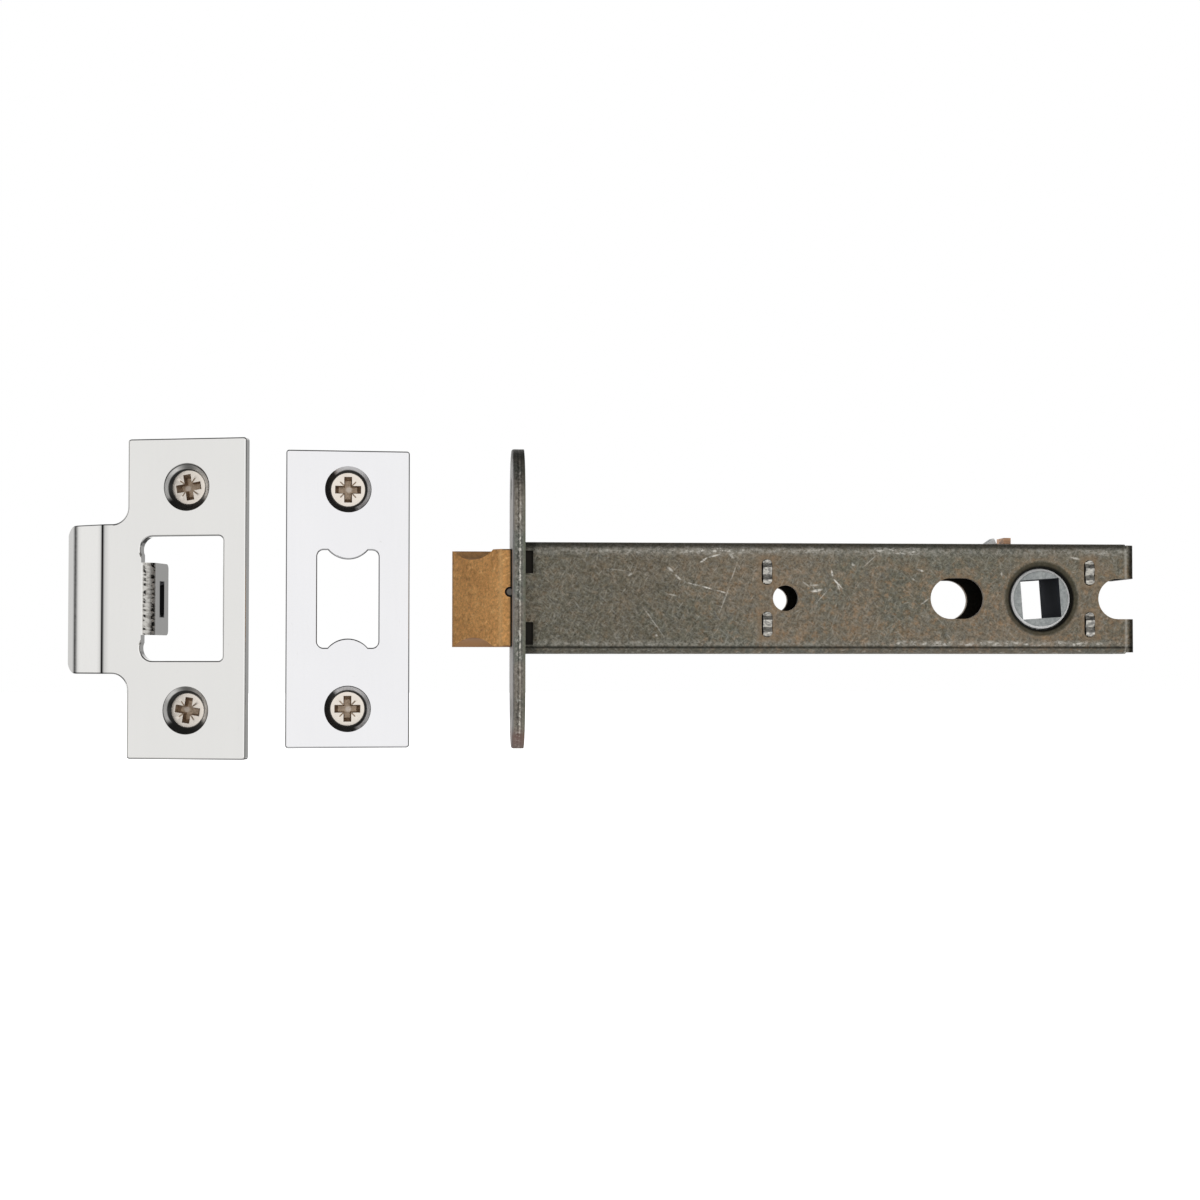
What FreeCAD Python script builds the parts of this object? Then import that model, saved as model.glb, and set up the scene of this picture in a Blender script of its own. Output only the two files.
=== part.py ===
import FreeCAD, Part
import Sketcher
import math
import os
import re

# Tubular door latch with its cover plate, strike plate and wood screws.
# X runs from the forend into the door, Y across the door's thickness, Z up.
# The origin is the centre of the forend's front face. Every size is in millimetres or degrees.

doc = FreeCAD.newDocument("tubular_latch")
sheet = doc.addObject("Spreadsheet::Sheet", "Sizes")

SIZES = [
    # Case
    ("spindle_setback", "108", "forend face to spindle centre"),
    ("case_tail", "19.5", "spindle centre to rear end of case"),
    ("case_height", "22.5", "case height over the folds"),
    ("case_width", "15", "case width over both side plates"),
    ("case_gauge", "1.2", "case sheet thickness"),
    ("fold_radius", "1.7", "outer radius of the case folds"),
    ("flange_relief", "0.3", "rear flange short of the folds"),
    ("nose_tab_height", "9.8", "height of the case tab held in the forend"),
    ("nose_relief", "1.7", "depth of the reliefs beside that tab"),
    ("fit_gap", "0.05", "gap round a fixed fit"),
    # Openings in the side plates
    ("fixing_bore", "8.3", "width of the fixing slot and rear notch"),
    ("fixing_front", "18.8", "spindle to front centre of fixing slot"),
    ("fixing_rear", "16.05", "spindle to rear centre of fixing slot"),
    ("notch_setback", "16", "spindle to centre of rear notch"),
    ("sight_bore", "5.2", "sight hole diameter"),
    ("sight_offset", "3.8", "abutment centre to sight hole centre"),
    ("stake_rise", "5.3", "height of the stakes above and below the middle"),
    ("stake_height", "4.4", "height of one stake"),
    ("stake_proud", "0.3", "stake end above the side plate"),
    ("stake_head", "1.75", "width of a stake's upset end"),
    ("stake_shift", "0.12", "upset end behind the middle of its stake"),
    ("stake_groove", "0.5", "depth of the chisel marks in a stake's end"),
    ("stake_slot_width", "2.2", "width of a stake's slot"),
    ("stake_slot_height", "5.2", "height of a stake's slot"),
    ("hub_bearing", "0.2", "straight part of the rolled hole round the hub"),
    # Forend
    ("forend_height", "61", "forend height"),
    ("forend_width", "25", "forend width"),
    ("forend_gauge", "2.5", "forend thickness"),
    ("forend_pitch", "45", "forend screw hole spacing"),
    ("forend_bore", "4.6", "forend screw hole diameter"),
    ("forend_edge", "0.45", "rounding of the forend's outer edges"),
    # Bolt
    ("bolt_throw", "12", "bolt nose in front of the forend"),
    ("bolt_length", "36", "bolt length"),
    ("slide_gap", "0.2", "gap round the bolt in case and forend"),
    ("scallop_depth", "1.9", "depth of the hollows along top and bottom of the bolt"),
    ("scallop_radius", "5.5", "radius of those hollows"),
    ("bolt_corner", "0.4", "corner radius of the bolt's section"),
    ("bevel_flat", "1.9", "square part of the bolt in front of the forend"),
    ("nose_flat", "1.6", "width of the flat left at the bolt's nose"),
    ("pin_diameter", "2", "cross pin diameter"),
    ("pin_advance", "0.4", "cross pin in front of the forend face"),
    ("pin_rise", "1.2", "cross pin above the middle"),
    # Tail bar
    ("tail_gauge", "1.5", "tail bar thickness"),
    ("tail_low", "3.6", "lower edge of the tail's front run"),
    ("tail_height", "2.8", "height of the tail's front run"),
    ("tail_gap", "0.35", "gap from the tail to roof, hub and cam"),
    ("tongue_nose", "3.6", "tongue in front of the cross pin"),
    ("tongue_drop", "2.4", "tongue below the cross pin"),
    ("tongue_web", "2", "metal between tongue and spring pocket"),
    ("jog_run", "4", "length of the sloping step in the tail"),
    ("jog_gap", "3", "gap from that step to the fixing slot when drawn back"),
    ("stop_gap", "0.3", "gap from the tail's shoulder to the abutment"),
    ("lug_advance", "5.95", "lug's front face in front of the spindle"),
    ("lug_rise", "1.55", "lug above the case"),
    # Bolt spring and its abutment
    ("abutment_setback", "51.5", "forend face to abutment centre"),
    ("abutment_gauge", "1.6", "abutment and spacer thickness"),
    ("spring_diameter", "8", "bolt spring outer diameter"),
    ("spring_wire", "1.1", "bolt spring wire diameter"),
    ("spring_turns", "8.5", "turns of the bolt spring"),
    ("spring_drop", "2.9", "bolt spring axis below the middle"),
    ("spring_pocket", "14", "depth of the spring's pocket in the bolt"),
    # Follower and its return spring
    ("spindle_square", "8", "spindle square across flats"),
    ("spindle_turn", "4", "turn of the square at rest"),
    ("hub_wall", "0.45", "metal outside the corners of the square"),
    ("hub_shoulder", "0.8", "shoulder that keeps the hub between the plates"),
    ("hub_chamfer", "0.5", "chamfer round the hub's faces"),
    ("face_recess", "0.4", "hub faces below the side plates"),
    ("turn_gap", "0.1", "gap round the hub's journals"),
    ("arm_lean", "28", "cam arm's lean towards the bolt at rest"),
    ("arm_relief", "0.6", "driving face in front of the radial line"),
    ("arm_width", "2.9", "cam arm width at its tip"),
    ("arm_rise", "3.6", "cam arm's sweep above the case"),
    ("arm_thick", "3.5", "cam arm thickness"),
    ("coil_wire", "1", "return spring wire diameter"),
    ("coil_turns", "3", "whole turns of the return spring"),
    ("ear_reach", "1.6", "spring ear beyond the hub"),
    ("ear_width", "2.4", "spring ear width"),
    ("ear_thick", "2", "spring ear thickness"),
    ("leg_lean", "15", "slope of the return spring's leg up to the roof"),
    ("hook_length", "2.2", "straight part of the return spring's hook"),
    ("hook_bend", "1", "bend radius of that hook at the wire's middle"),
    ("spacer_setback", "10", "spindle to rear spacer centre"),
    # Plates
    ("plate_gauge", "2", "cover and strike plate thickness"),
    ("plate_corner", "0.6", "corner radius of both plates"),
    ("plate_edge", "0.35", "rounding of the plates' front edges"),
    ("cover_width", "25.2", "cover plate width"),
    ("cover_height", "61", "cover plate height"),
    ("cover_gap", "0.15", "gap round the bolt in the cover plate"),
    ("cover_corner", "1.3", "corner radius of the cover plate's opening"),
    ("cover_sink", "9.5", "countersink diameter in the cover plate"),
    ("cover_ahead", "33.3", "cover plate in front of the forend face"),
    ("cover_depth", "4.2", "middle of the cover plate along Y"),
    ("cover_tilt", "5", "turn of the cover plate about Z"),
    ("strike_width", "25.4", "strike plate width without its lip"),
    ("strike_height", "65.4", "strike plate height"),
    ("strike_pitch", "45.5", "strike plate screw spacing"),
    ("strike_sink", "9.8", "countersink diameter in the strike plate"),
    ("strike_ahead", "66", "strike plate in front of the forend face"),
    ("strike_depth", "3.4", "middle of the strike plate along Y"),
    ("strike_tilt", "14.4", "turn of the strike plate about Z"),
    ("lip_height", "30.7", "lip height"),
    ("lip_neck", "5.2", "flat part of the lip"),
    ("lip_blend", "3.4", "radius where the lip leaves the plate"),
    ("lip_crease", "1.2", "outer radius of the lip's two bends"),
    ("lip_lean", "22.5", "angle of each of those bends"),
    ("lip_middle", "7.55", "flat part between the lip's bends"),
    ("lip_end", "3.8", "flat part at the lip's free end"),
    ("lip_corner", "3.2", "radius of the lip's free corners"),
    ("keep_height", "25.4", "height of the bolt hole in the strike plate"),
    ("keep_right", "7.8", "bolt hole to the right of the plate's middle"),
    ("keep_left", "7.3", "tang face to the left of the plate's middle"),
    ("keep_corner", "1", "corner radius of the bolt hole"),
    ("lobe_radius", "2.65", "radius of the reliefs beside the tang"),
    ("tang_bend", "2.4", "outer radius of the tang's bend"),
    ("tang_length", "8.6", "tang behind the plate's front face"),
    ("tang_corner", "1", "radius of the tang's free corners"),
    ("tang_slot_height", "7.3", "height of the slot in the tang"),
    ("tang_slot_width", "2.3", "width of the slot in the tang"),
    ("tang_slot_setback", "5.2", "centre of that slot behind the plate's face"),
    # Wood screws
    ("screw_head", "7.2", "screw head diameter"),
    ("screw_shank", "3.4", "screw shank diameter"),
    ("screw_length", "20", "screw length"),
    ("screw_point", "4", "length of the screw's point"),
    ("recess_span", "4.8", "cross recess span"),
    ("recess_wing", "1.2", "cross recess wing width"),
    ("recess_depth", "1.5", "cross recess depth"),
    ("seat_gap", "0.15", "head above its seat in the countersink"),
]
ALIASES = {alias for alias, number, meaning in SIZES}
WIRE_SIDES = 8  # flats of a spring wire's section

for row, (alias, number, meaning) in enumerate(SIZES, start=1):
    sheet.set("A%d" % row, meaning)
    sheet.set("B%d" % row, number)
    sheet.setAlias("B%d" % row, alias)
doc.recompute()

# Places that several pieces share, as expressions on the sheet.
HALF_HEIGHT = "(case_height / 2)"
HALF_WIDTH = "(case_width / 2)"
INNER_Y = "(case_width / 2 - case_gauge)"
INNER_Z = "(case_height / 2 - case_gauge)"
CASE_REAR = "(spindle_setback + case_tail)"
BOLT_Y = "(%s - slide_gap)" % INNER_Y
BOLT_Z = "(%s - slide_gap)" % INNER_Z
BOLT_REAR = "(bolt_length - bolt_throw)"
POCKET_END = "(%s - spring_pocket)" % BOLT_REAR
TONGUE_REAR = "(%s - tongue_web)" % POCKET_END
TONGUE_FRONT = "(-pin_advance - tongue_nose)"
TONGUE_FOOT = "(pin_rise - tongue_drop)"
TAIL_TOP = "(tail_low + tail_height)"
JOURNAL = "(spindle_square / sqrt(2) + hub_wall)"
HUB = "(%s + hub_shoulder)" % JOURNAL
TAIL_FOOT = "(%s + tail_gap)" % HUB
TAIL_HEAD = "(%s - tail_gap)" % INNER_Z
LUG_FRONT = "(spindle_setback - lug_advance)"
LUG_REAR = "(%s + tail_gauge)" % LUG_FRONT
LUG_FOOT = "(%s + tail_gap)" % INNER_Z
LUG_TOP = "(%s + lug_rise)" % HALF_HEIGHT
ARM_NEAR = "(tail_gauge / 2 + tail_gap)"
ARM_FAR = "(%s + arm_thick)" % ARM_NEAR
ARM_REACH = "(%s + arm_rise)" % HALF_HEIGHT
ARM_FRONT = "(arm_relief + arm_width)"
ARM_TIP_AHEAD = "(sqrt(%s ^ 2 - %s ^ 2) * sin(arm_lean) + %s * cos(arm_lean))" % (
    ARM_REACH, ARM_FRONT, ARM_FRONT)
SPACER_X = "(spindle_setback + spacer_setback)"
SIGHT_X = "(abutment_setback + sight_offset)"
FIXING_R = "(fixing_bore / 2)"
COIL_R = "(%s + tail_gap + coil_wire / 2)" % HUB
COIL_NEAR = "(%s - tail_gap - coil_wire / 2)" % INNER_Y
COIL_FAR = "(ear_thick / 2 + tail_gap + coil_wire / 2)"
COIL_LENGTH = "(%s - %s)" % (COIL_NEAR, COIL_FAR)
COIL_TURNS = "(coil_turns + 0.25 - leg_lean / 360)"
COIL_CLIMB = "atan(%s / %s / (2 * pi * %s))" % (COIL_LENGTH, COIL_TURNS, COIL_R)
HOOK_DROP = "(hook_bend * (1 - sin(%s)))" % COIL_CLIMB
EAR_ANGLE = "asin((ear_width / 2 + coil_wire / 2 + fit_gap - %s) / %s)" % (HOOK_DROP, COIL_R)
TANG_Z = "(keep_height / 2 - 2 * lobe_radius)"


def bound(expression):
    """Expression with each size's name led by the sheet it stands in."""
    return re.sub(r"[a-z_]+", lambda word: "Sizes." + word.group() if word.group() in ALIASES else word.group(),
                  expression)


def value(expression):
    """Number that an expression on the sheet gives now."""
    return float(sheet.evalExpression(expression))


def new_body(name):
    """Body that becomes one node of the part."""
    body = doc.addObject("PartDesign::Body", name)
    body.Label = name
    return body


def new_sketch(body, name, plane, x="0", y="0", z="0"):
    """Sketch on one of the body's own planes, moved by x, y in the plane and z along its normal."""
    sketch = body.newObject("Sketcher::SketchObject", name)
    support = next(feature for feature in body.Origin.OriginFeatures if feature.Role == plane + "_Plane")
    sketch.AttachmentSupport = [(support, "")]
    sketch.MapMode = "FlatFace"
    for axis, offset in zip("xyz", (x, y, z)):
        if offset != "0":
            sketch.setExpression("AttachmentOffset.Base." + axis, bound(offset))
    return sketch


def constrain(sketch, pairs):
    """Add constraints and bind those that carry an expression."""
    indexes = sketch.addConstraint([constraint for constraint, expression in pairs])
    for index, (constraint, expression) in zip(indexes, pairs):
        if expression is not None:
            sketch.setExpression("Constraints[%d]" % index, bound(expression))


def arc_through(here, there, radius, side):
    """Arc of less than half a turn from here to there, its centre on the left (1) or right (-1)."""
    chord = there - here
    rise = math.sqrt(max(radius ** 2 - (chord.Length / 2) ** 2, 0))
    left = FreeCAD.Vector(-chord.y, chord.x, 0).normalize()
    centre = (here + there) / 2 + left * rise * side
    first, last = (here, there) if side > 0 else (there, here)
    angles = [math.atan2(end.y - centre.y, end.x - centre.x) for end in (first, last)]
    circle = Part.Circle(centre, FreeCAD.Vector(0, 0, 1), radius)
    return Part.ArcOfCircle(circle, angles[0], angles[1])


def outline(sketch, corners):
    """Closed outline through corners (x, y), or (x, y, radius, side) where an arc leaves the corner."""
    points = [FreeCAD.Vector(value(corner[0]), value(corner[1]), 0) for corner in corners]
    starts = []
    ends = []
    pairs = []
    for index, corner in enumerate(corners):
        here = points[index]
        there = points[(index + 1) % len(points)]
        if len(corner) == 2:
            edge = sketch.addGeometry(Part.LineSegment(here, there), False)
            starts.append((edge, 1))
            ends.append((edge, 2))
            continue
        radius = value(corner[2])
        edge = sketch.addGeometry(arc_through(here, there, radius, corner[3]), False)
        starts.append((edge, 1 if corner[3] > 0 else 2))
        ends.append((edge, 2 if corner[3] > 0 else 1))
        pairs.append((Sketcher.Constraint("Radius", edge, radius), corner[2]))
    for index, corner in enumerate(corners):
        following = starts[(index + 1) % len(starts)]
        pairs.append((Sketcher.Constraint("Coincident", *ends[index], *following), None))
        pairs.append((Sketcher.Constraint("DistanceX", -1, 1, *starts[index], points[index].x), corner[0]))
        pairs.append((Sketcher.Constraint("DistanceY", -1, 1, *starts[index], points[index].y), corner[1]))
    constrain(sketch, pairs)


def circle(sketch, x, y, radius):
    """Circle by its centre and radius."""
    centre = FreeCAD.Vector(value(x), value(y), 0)
    size = value(radius)
    edge = sketch.addGeometry(Part.Circle(centre, FreeCAD.Vector(0, 0, 1), size), False)
    constrain(sketch, [
        (Sketcher.Constraint("DistanceX", -1, 1, edge, 3, centre.x), x),
        (Sketcher.Constraint("DistanceY", -1, 1, edge, 3, centre.y), y),
        (Sketcher.Constraint("Radius", edge, size), radius),
    ])


def rectangle(sketch, left, right, low, high):
    """Rectangle with sharp corners."""
    outline(sketch, [(left, low), (right, low), (right, high), (left, high)])


def rounded(sketch, half_x, half_y, corner):
    """Rectangle about the sketch's origin with rounded corners."""
    straight_x = "(%s - %s)" % (half_x, corner)
    straight_y = "(%s - %s)" % (half_y, corner)
    outline(sketch, [
        ("-" + straight_x, "-" + half_y), (straight_x, "-" + half_y, corner, 1),
        (half_x, "-" + straight_y), (half_x, straight_y, corner, 1),
        (straight_x, half_y), ("-" + straight_x, half_y, corner, 1),
        ("-" + half_x, straight_y), ("-" + half_x, "-" + straight_y, corner, 1),
    ])


def upright_slot(sketch, middle, centre, height, width):
    """Slot along the sketch's second axis about a centre; each end is two quarter arcs."""
    radius = "(%s / 2)" % width
    low = "(%s - %s / 2 + %s)" % (centre, height, radius)
    high = "(%s + %s / 2 - %s)" % (centre, height, radius)
    outline(sketch, [
        ("(%s + %s)" % (middle, radius), low), ("(%s + %s)" % (middle, radius), high, radius, 1),
        (middle, "(%s + %s)" % (high, radius), radius, 1), ("(%s - %s)" % (middle, radius), high),
        ("(%s - %s)" % (middle, radius), low, radius, 1), (middle, "(%s - %s)" % (low, radius), radius, 1),
    ])


def slot(sketch, first, last, middle, radius):
    """Slot along the sketch's first axis between two round centres; each end is two quarter arcs."""
    low = "(%s - %s)" % (middle, radius)
    high = "(%s + %s)" % (middle, radius)
    outline(sketch, [
        (first, low), (last, low, radius, 1), ("(%s + %s)" % (last, radius), middle, radius, 1),
        (last, high), (first, high, radius, 1), ("(%s - %s)" % (first, radius), middle, radius, 1),
    ])


def scalloped(sketch, half_y, half_z, radius, corner):
    """Section of the bolt: a rounded rectangle with a shallow hollow along its top and its bottom."""
    half_chord = "sqrt(2 * %s * scallop_depth - scallop_depth ^ 2)" % radius
    straight_y = "(%s - %s)" % (half_y, corner)
    straight_z = "(%s - %s)" % (half_z, corner)
    outline(sketch, [
        ("-" + straight_y, "-" + half_z), ("-" + half_chord, "-" + half_z, radius, -1),
        (half_chord, "-" + half_z), (straight_y, "-" + half_z, corner, 1),
        (half_y, "-" + straight_z), (half_y, straight_z, corner, 1),
        (straight_y, half_z), (half_chord, half_z, radius, -1),
        ("-" + half_chord, half_z), ("-" + straight_y, half_z, corner, 1),
        ("-" + half_y, straight_z), ("-" + half_y, "-" + straight_z, corner, 1),
    ])


def extrude(body, kind, sketch, length=None, reverse=False, both=False):
    """Pad or Pocket of a sketch; no length means through everything."""
    feature = body.newObject("PartDesign::" + kind, "%s_%s" % (sketch.Name, kind.lower()))
    feature.Profile = sketch
    if both:
        feature.SideType = "Symmetric"
    feature.Reversed = reverse
    if length is None:
        feature.Type = "ThroughAll"
    else:
        feature.setExpression("Length", bound(length))
    return feature


def turn(body, kind, sketch):
    """Revolution or Groove of a sketch about its own upright axis."""
    feature = body.newObject("PartDesign::" + kind, "%s_%s" % (sketch.Name, kind.lower()))
    feature.Profile = sketch
    feature.ReferenceAxis = (sketch, ["V_Axis"])
    feature.Angle = 360
    return feature


def face_normal(face, point):
    """Outward normal of a face at a point on it."""
    return face.normalAt(*face.Surface.parameter(point))


def round_rims(body, radius, facing, wanted):
    """Fillet of the edges between a face that looks along facing and a wall, where wanted(middle) is true."""
    doc.recompute()
    base = body.Tip
    names = []
    for index, edge in enumerate(base.Shape.Edges):
        middle = edge.valueAt((edge.FirstParameter + edge.LastParameter) / 2)
        faces = base.Shape.ancestorsOfType(edge, Part.Face)
        looks = sorted(face_normal(face, middle).dot(facing) for face in faces)
        straight = all(not isinstance(face.Surface, Part.Cone) for face in faces)
        if straight and looks[0] < 0.35 and looks[-1] > 0.6 and wanted(middle):
            names.append("Edge%d" % (index + 1))
    feature = body.newObject("PartDesign::Fillet", base.Name + "_rims")
    feature.Base = (base, names)
    feature.setExpression("Radius", bound(radius))


def stand(piece, ahead, depth, tilt, axis):
    """Stand a plate or its screws in front of the latch, turned about the upright."""
    piece.Placement = FreeCAD.Placement(
        FreeCAD.Vector(), FreeCAD.Rotation(FreeCAD.Vector(0, 0, axis), value(tilt)))
    piece.setExpression("Placement.Base.x", bound("-" + ahead))
    piece.setExpression("Placement.Base.y", bound(depth))
    piece.setExpression("Placement.Rotation.Angle", bound(tilt))


def side_openings(body, outer):
    """Openings that both side plates share; outer is the sign of Y at the plate's outer face."""
    name = body.Name
    sight = new_sketch(body, name + "_sight", "XZ")
    circle(sight, SIGHT_X, "0", "sight_bore / 2")
    extrude(body, "Pocket", sight, both=True)

    fixing = new_sketch(body, name + "_fixing", "XZ")
    slot(fixing, "(spindle_setback - fixing_front)", "(spindle_setback - fixing_rear)", "0", FIXING_R)
    extrude(body, "Pocket", fixing, both=True)

    notch = new_sketch(body, name + "_notch", "XZ")
    notch_x = "(spindle_setback + notch_setback)"
    outline(notch, [
        (notch_x, FIXING_R, FIXING_R, 1), ("(%s - %s)" % (notch_x, FIXING_R), "0", FIXING_R, 1),
        (notch_x, "-" + FIXING_R), ("(%s + case_gauge)" % CASE_REAR, "-" + FIXING_R),
        ("(%s + case_gauge)" % CASE_REAR, FIXING_R),
    ])
    extrude(body, "Pocket", notch, both=True)

    for place, middle in (("front", "abutment_setback"), ("rear", SPACER_X)):
        for level, sign in (("upper", "1"), ("lower", "-1")):
            stake = new_sketch(body, "%s_%s_%s_stake" % (name, place, level), "XZ")
            upright_slot(stake, middle, "(%s * stake_rise)" % sign, "stake_slot_height", "stake_slot_width")
            extrude(body, "Pocket", stake, both=True)

    # The edge of the hub's hole is rolled inwards, down to a short bearing.
    hole = "(%s + turn_gap)" % JOURNAL
    roll = "(case_gauge - hub_bearing)"
    rolled = new_sketch(body, name + "_hub_hole", "XY", x="spindle_setback")
    inner_face = "(%d * %s)" % (outer, INNER_Y)
    outer_face = "(%d * %s)" % (outer, HALF_WIDTH)
    outline(rolled, [
        ("0", outer_face), ("0", inner_face), (hole, inner_face),
        (hole, "(%d * (%s + hub_bearing))" % (outer, INNER_Y), roll, -outer),
        ("(%s + %s)" % (hole, roll), outer_face),
    ])
    turn(body, "Groove", rolled)

    for level, sign in (("upper", "1"), ("lower", "-1")):
        relief = new_sketch(body, "%s_%s_relief" % (name, level), "XZ")
        near = "(%s * nose_tab_height / 2)" % sign
        far = "(%s * (%s - 2 * fit_gap - fold_radius + case_gauge))" % (sign, INNER_Z)
        low, high = (near, far) if sign == "1" else (far, near)
        rectangle(relief, "0", "(forend_gauge + nose_relief)", low, high)
        extrude(body, "Pocket", relief, both=True)


def nose_tab(body, low, high):
    """Tab at the front edge of a side plate, closed over in the forend."""
    tab = new_sketch(body, body.Name + "_tab", "YZ")
    rectangle(tab, low, high, "-nose_tab_height / 2", "nose_tab_height / 2")
    extrude(body, "Pad", tab, "forend_gauge + case_gauge")


def case_shell():
    """Folded tray: near side plate, roof, floor and rear flange from one sheet."""
    body = new_body("case_shell")
    inner_fold = "(fold_radius - case_gauge)"
    fold_y = "(-%s + fold_radius)" % HALF_WIDTH
    fold_z = "(%s - fold_radius)" % HALF_HEIGHT
    section = new_sketch(body, "tray_section", "YZ", z="forend_gauge")
    outline(section, [
        (INNER_Y, HALF_HEIGHT), (fold_y, HALF_HEIGHT, "fold_radius", 1),
        ("-" + HALF_WIDTH, fold_z), ("-" + HALF_WIDTH, "-" + fold_z, "fold_radius", 1),
        (fold_y, "-" + HALF_HEIGHT), (INNER_Y, "-" + HALF_HEIGHT),
        (INNER_Y, "-" + INNER_Z), (fold_y, "-" + INNER_Z, inner_fold, -1),
        ("-" + INNER_Y, "-" + fold_z), ("-" + INNER_Y, fold_z, inner_fold, -1),
        (fold_y, INNER_Z), (INNER_Y, INNER_Z),
    ])
    extrude(body, "Pad", section, "%s - fold_radius - forend_gauge" % CASE_REAR)

    flange = new_sketch(body, "rear_flange", "XY")
    bend_x = "(%s - fold_radius)" % CASE_REAR
    outline(flange, [
        (bend_x, "-" + HALF_WIDTH, "fold_radius", 1),
        (CASE_REAR, fold_y), (CASE_REAR, INNER_Y), ("(%s - case_gauge)" % CASE_REAR, INNER_Y),
        ("(%s - case_gauge)" % CASE_REAR, fold_y, inner_fold, -1),
        (bend_x, "-" + INNER_Y),
    ])
    extrude(body, "Pad", flange, "2 * (%s - flange_relief)" % HALF_HEIGHT, both=True)

    side_openings(body, -1)
    nose_tab(body, "-" + HALF_WIDTH, "-" + INNER_Y)

    lug_slot = new_sketch(body, "lug_slot", "XY")
    rectangle(lug_slot, "(spindle_setback - %s - tail_gap)" % ARM_TIP_AHEAD,
              "(%s + bolt_throw + tail_gap)" % LUG_REAR,
              "-" + ARM_NEAR, "(%s + tail_gap)" % ARM_FAR)
    extrude(body, "Pocket", lug_slot, reverse=True)
    return body


def case_cover():
    """Flat far side plate, laid on the tray's edges."""
    body = new_body("case_cover")
    plate = new_sketch(body, "cover_sheet", "XZ", z="-" + INNER_Y)
    rectangle(plate, "forend_gauge", CASE_REAR, "-" + HALF_HEIGHT, HALF_HEIGHT)
    extrude(body, "Pad", plate, "case_gauge", reverse=True)
    side_openings(body, 1)
    nose_tab(body, INNER_Y, HALF_WIDTH)
    return body


def forend_plate():
    """Round-ended plate with the bolt's opening, two screw holes and the tabs' notches."""
    body = new_body("forend_plate")
    face = new_sketch(body, "forend_face", "YZ")
    end_r = "(forend_width / 2)"
    side_z = "(forend_height / 2 - forend_width / 2)"
    outline(face, [
        (end_r, "-" + side_z), (end_r, side_z, end_r, 1), ("0", "(forend_height / 2)", end_r, 1),
        ("-" + end_r, side_z), ("-" + end_r, "-" + side_z, end_r, 1), ("0", "(-forend_height / 2)", end_r, 1),
    ])
    extrude(body, "Pad", face, "forend_gauge")

    opening = new_sketch(body, "forend_opening", "YZ")
    scalloped(opening, INNER_Y, INNER_Z, "(scallop_radius - slide_gap)", "bolt_corner")
    extrude(body, "Pocket", opening, reverse=True)

    notches = new_sketch(body, "forend_notches", "YZ")
    notch_y = "(%s + fit_gap)" % HALF_WIDTH
    notch_z = "(nose_tab_height / 2 + fit_gap)"
    rectangle(notches, "-" + notch_y, notch_y, "-" + notch_z, notch_z)
    extrude(body, "Pocket", notches, reverse=True)

    screws = new_sketch(body, "forend_screw_holes", "YZ")
    circle(screws, "0", "forend_pitch / 2", "forend_bore / 2")
    circle(screws, "0", "-forend_pitch / 2", "forend_bore / 2")
    extrude(body, "Pocket", screws, reverse=True)

    reach = value("(forend_width / 2) ^ 2") - 1
    side = value("forend_height / 2 - forend_width / 2")
    round_rims(body, "forend_edge", FreeCAD.Vector(-1, 0, 0),
               lambda middle: middle.y ** 2 + max(abs(middle.z) - side, 0) ** 2 > reach)
    return body


def latch_bolt():
    """Bevelled bolt with hollows along top and bottom, a slot for the tail and a pocket for the spring."""
    body = new_body("latch_bolt")
    section = new_sketch(body, "bolt_section", "YZ", z="-bolt_throw")
    scalloped(section, BOLT_Y, BOLT_Z, "scallop_radius", "bolt_corner")
    extrude(body, "Pad", section, "bolt_length")

    bevel = new_sketch(body, "bolt_bevel", "XY")
    outline(bevel, [
        ("-bolt_throw", "-" + BOLT_Y), ("-bevel_flat", "-" + BOLT_Y),
        ("-bolt_throw", "(%s - nose_flat)" % BOLT_Y),
    ])
    extrude(body, "Pocket", bevel, both=True)

    tongue_slot = new_sketch(body, "tongue_slot", "XZ")
    front = "(%s - slide_gap)" % TONGUE_FRONT
    step = "(%s + slide_gap)" % TONGUE_REAR
    high = "(%s + slide_gap)" % TAIL_TOP
    outline(tongue_slot, [
        (front, "(%s - slide_gap)" % TONGUE_FOOT), (step, "(%s - slide_gap)" % TONGUE_FOOT),
        (step, "(tail_low - slide_gap)"), (BOLT_REAR, "(tail_low - slide_gap)"), (BOLT_REAR, high), (front, high),
    ])
    extrude(body, "Pocket", tongue_slot, "tail_gauge + 2 * fit_gap", both=True)

    pin_hole = new_sketch(body, "bolt_pin_hole", "XZ")
    circle(pin_hole, "-pin_advance", "pin_rise", "(pin_diameter / 2 + fit_gap)")
    extrude(body, "Pocket", pin_hole, both=True)

    pocket = new_sketch(body, "spring_pocket_mouth", "YZ", z=BOLT_REAR)
    circle(pocket, "0", "-spring_drop", "(spring_diameter / 2 + slide_gap)")
    extrude(body, "Pocket", pocket, "spring_pocket")
    return body


def bolt_pin():
    """Cross pin that holds the tail in the bolt."""
    body = new_body("bolt_pin")
    end = new_sketch(body, "pin_end", "XZ")
    circle(end, "-pin_advance", "pin_rise", "pin_diameter / 2")
    extrude(body, "Pad", end, "2 * %s" % BOLT_Y, both=True)
    return body


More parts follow.
